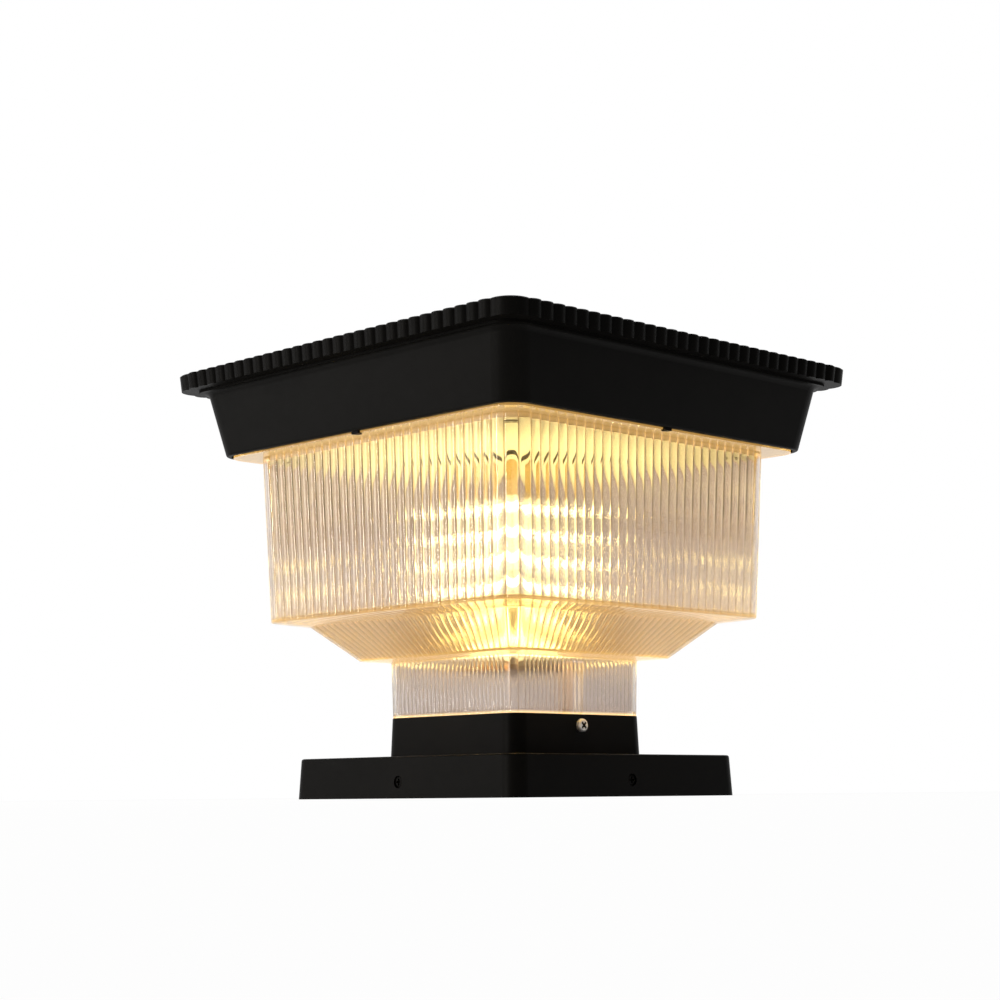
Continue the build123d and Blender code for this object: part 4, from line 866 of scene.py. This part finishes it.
def make_lights():
    """Key and edge light from the left, weak fill from the right, and stand-ins for the rows' light."""
    area_light("key", *KEY_LIGHT)
    area_light("edge", *EDGE_LIGHT)
    area_light("fill", *FILL_LIGHT, hidden=True)
    up = Vector((0, 0, 1))
    for quarter in range(4):
        outward = Matrix.Rotation(radians(90.0) * quarter, 3, "Z") @ Vector((1.0, 0.0, 0.0))
        place = outward * ROWS_LIGHT_OUT + up * lamp_middle_z
        area_light(f"rows_{quarter}", place, place + up, *ROWS_LIGHT, hidden=True)
        place = outward * (NECK_BOTTOM_HALF + GLOW_LIGHT_GAP) + up * neck_top_z
        area_light(f"glow_{quarter}", place, place - up, *GLOW_LIGHT, hidden=True)


black = grained_plastic(
    "black_housing", (0.003, 0.0027, 0.0022), (0.0045, 0.004, 0.0034),
    roughness=(0.4, 0.5), grain=2600.0, depth=0.06 * MM, specular=0.045,
)
dark_moulding = grained_plastic(
    "dark_moulding", (0.02, 0.02, 0.02), (0.03, 0.03, 0.03),
    roughness=(0.45, 0.6), grain=1800.0, depth=0.05 * MM, specular=0.3,
)
rubber = grained_plastic(
    "seal_rubber", (0.018, 0.018, 0.018), (0.026, 0.026, 0.026),
    roughness=(0.6, 0.75), grain=900.0, depth=0.08 * MM, specular=0.3,
)
reflector = grained_plastic(
    "reflector_white", (0.82, 0.80, 0.74), (0.88, 0.86, 0.80),
    roughness=(0.35, 0.5), grain=1500.0, depth=0.03 * MM, specular=0.4,
)
green_board = grained_plastic(
    "board_green", (0.02, 0.13, 0.05), (0.03, 0.19, 0.08),
    roughness=(0.25, 0.4), grain=500.0, depth=0.04 * MM, specular=0.5,
)
wrap = grained_plastic(
    "battery_wrap", (0.03, 0.16, 0.3), (0.05, 0.22, 0.38),
    roughness=(0.2, 0.35), grain=300.0, depth=0.02 * MM, specular=0.5,
)
backsheet = grained_plastic(
    "backsheet", (0.72, 0.72, 0.71), (0.8, 0.8, 0.79),
    roughness=(0.5, 0.65), grain=800.0, depth=0.03 * MM, specular=0.4,
)
# Painted glow: the end cap and the gasket are no lamps; their emission and amber stand in for the lamps'
# light
end_cap_painted_glow = glowing("end_cap_painted_glow", (1.0, 0.52, 0.1), strength=0.1, base=(0.34, 0.2, 0.06))
gasket_painted_glow = glowing("gasket_pale_painted_glow", (1.0, 0.66, 0.2), strength=0.15, base=(0.56, 0.5, 0.4))
lamp = glowing("lamp", LAMP_COLOUR, strength=LAMP_STRENGTH, base=(0.9, 0.8, 0.5))
steel = brushed_metal("stainless", (0.55, 0.55, 0.54), (0.72, 0.72, 0.71), roughness=0.28, scale=260.0)
zinc = brushed_metal("zinc_plate", (0.45, 0.46, 0.47), (0.6, 0.61, 0.62), roughness=0.42, scale=90.0)
dark_steel = brushed_metal("black_steel", (0.006,) * 3, (0.012,) * 3, roughness=0.5, scale=300.0)
# The post's amber colour is painted warm lamplight on the aluminium
post_metal = brushed_metal(
    "post_aluminium", (0.68, 0.5, 0.22), (0.78, 0.58, 0.28), roughness=0.4, scale=120.0, metallic=0.4
)

dress(black, "cap_housing", "collar", "base_cover", "base_screws")
dress(dark_moulding, "battery_holder", "board_components", "power_button")
dress(gasket_painted_glow, "shade_gasket")
dress(rubber, "panel_seal", "switch_seal", "lead_grommet")
dress(rubber, "panel_lead", "battery_lead", "led_lead", "switch_lead")
dress(reflector, "reflector_plate")
dress(pale_with_painted_shade_sides(), "post_flange", "reflector_screws")
dress(end_cap_painted_glow, "post_end_cap")
dress(glowing_board(), "led_boards")
dress(green_board, "control_board")
dress(wrap, "battery_cells")
dress(backsheet, "panel_backsheet")
dress(solar_silicon(), "solar_cells")
dress(panel_glass(), "solar_glass")
dress(steel_with_painted_recess_shade(), "collar_screws")
dress(steel, "holder_screws", "board_screws", "collar_fixing_screws", "switch_body")
dress(zinc, "mounting_bracket", "switch_nut", "battery_contacts")
dress(dark_steel, "post_screws")
dress(post_metal, "led_post")
dress(lamp, "led_chips")

# The shade's materials stand in the order of its finishes
shade = shade_piece([
    clear_plastic("clear_shade", drawn=False),
    clear_plastic("clear_drawn", drawn=True),
    boss_plastic(),
    frosted_plastic(),
])
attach(shade, "lamp")
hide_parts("shade")

# Light passes the clear pieces
shade.visible_shadow = False
nodes["solar_glass"].visible_shadow = False

make_camera()
make_world()
make_floor()
make_lights()

scene.view_settings.view_transform = "Standard"
scene.cycles.max_bounces = 20
scene.cycles.transmission_bounces = 20
scene.cycles.glossy_bounces = 8
scene.cycles.caustics_refractive = False
scene.cycles.caustics_reflective = False
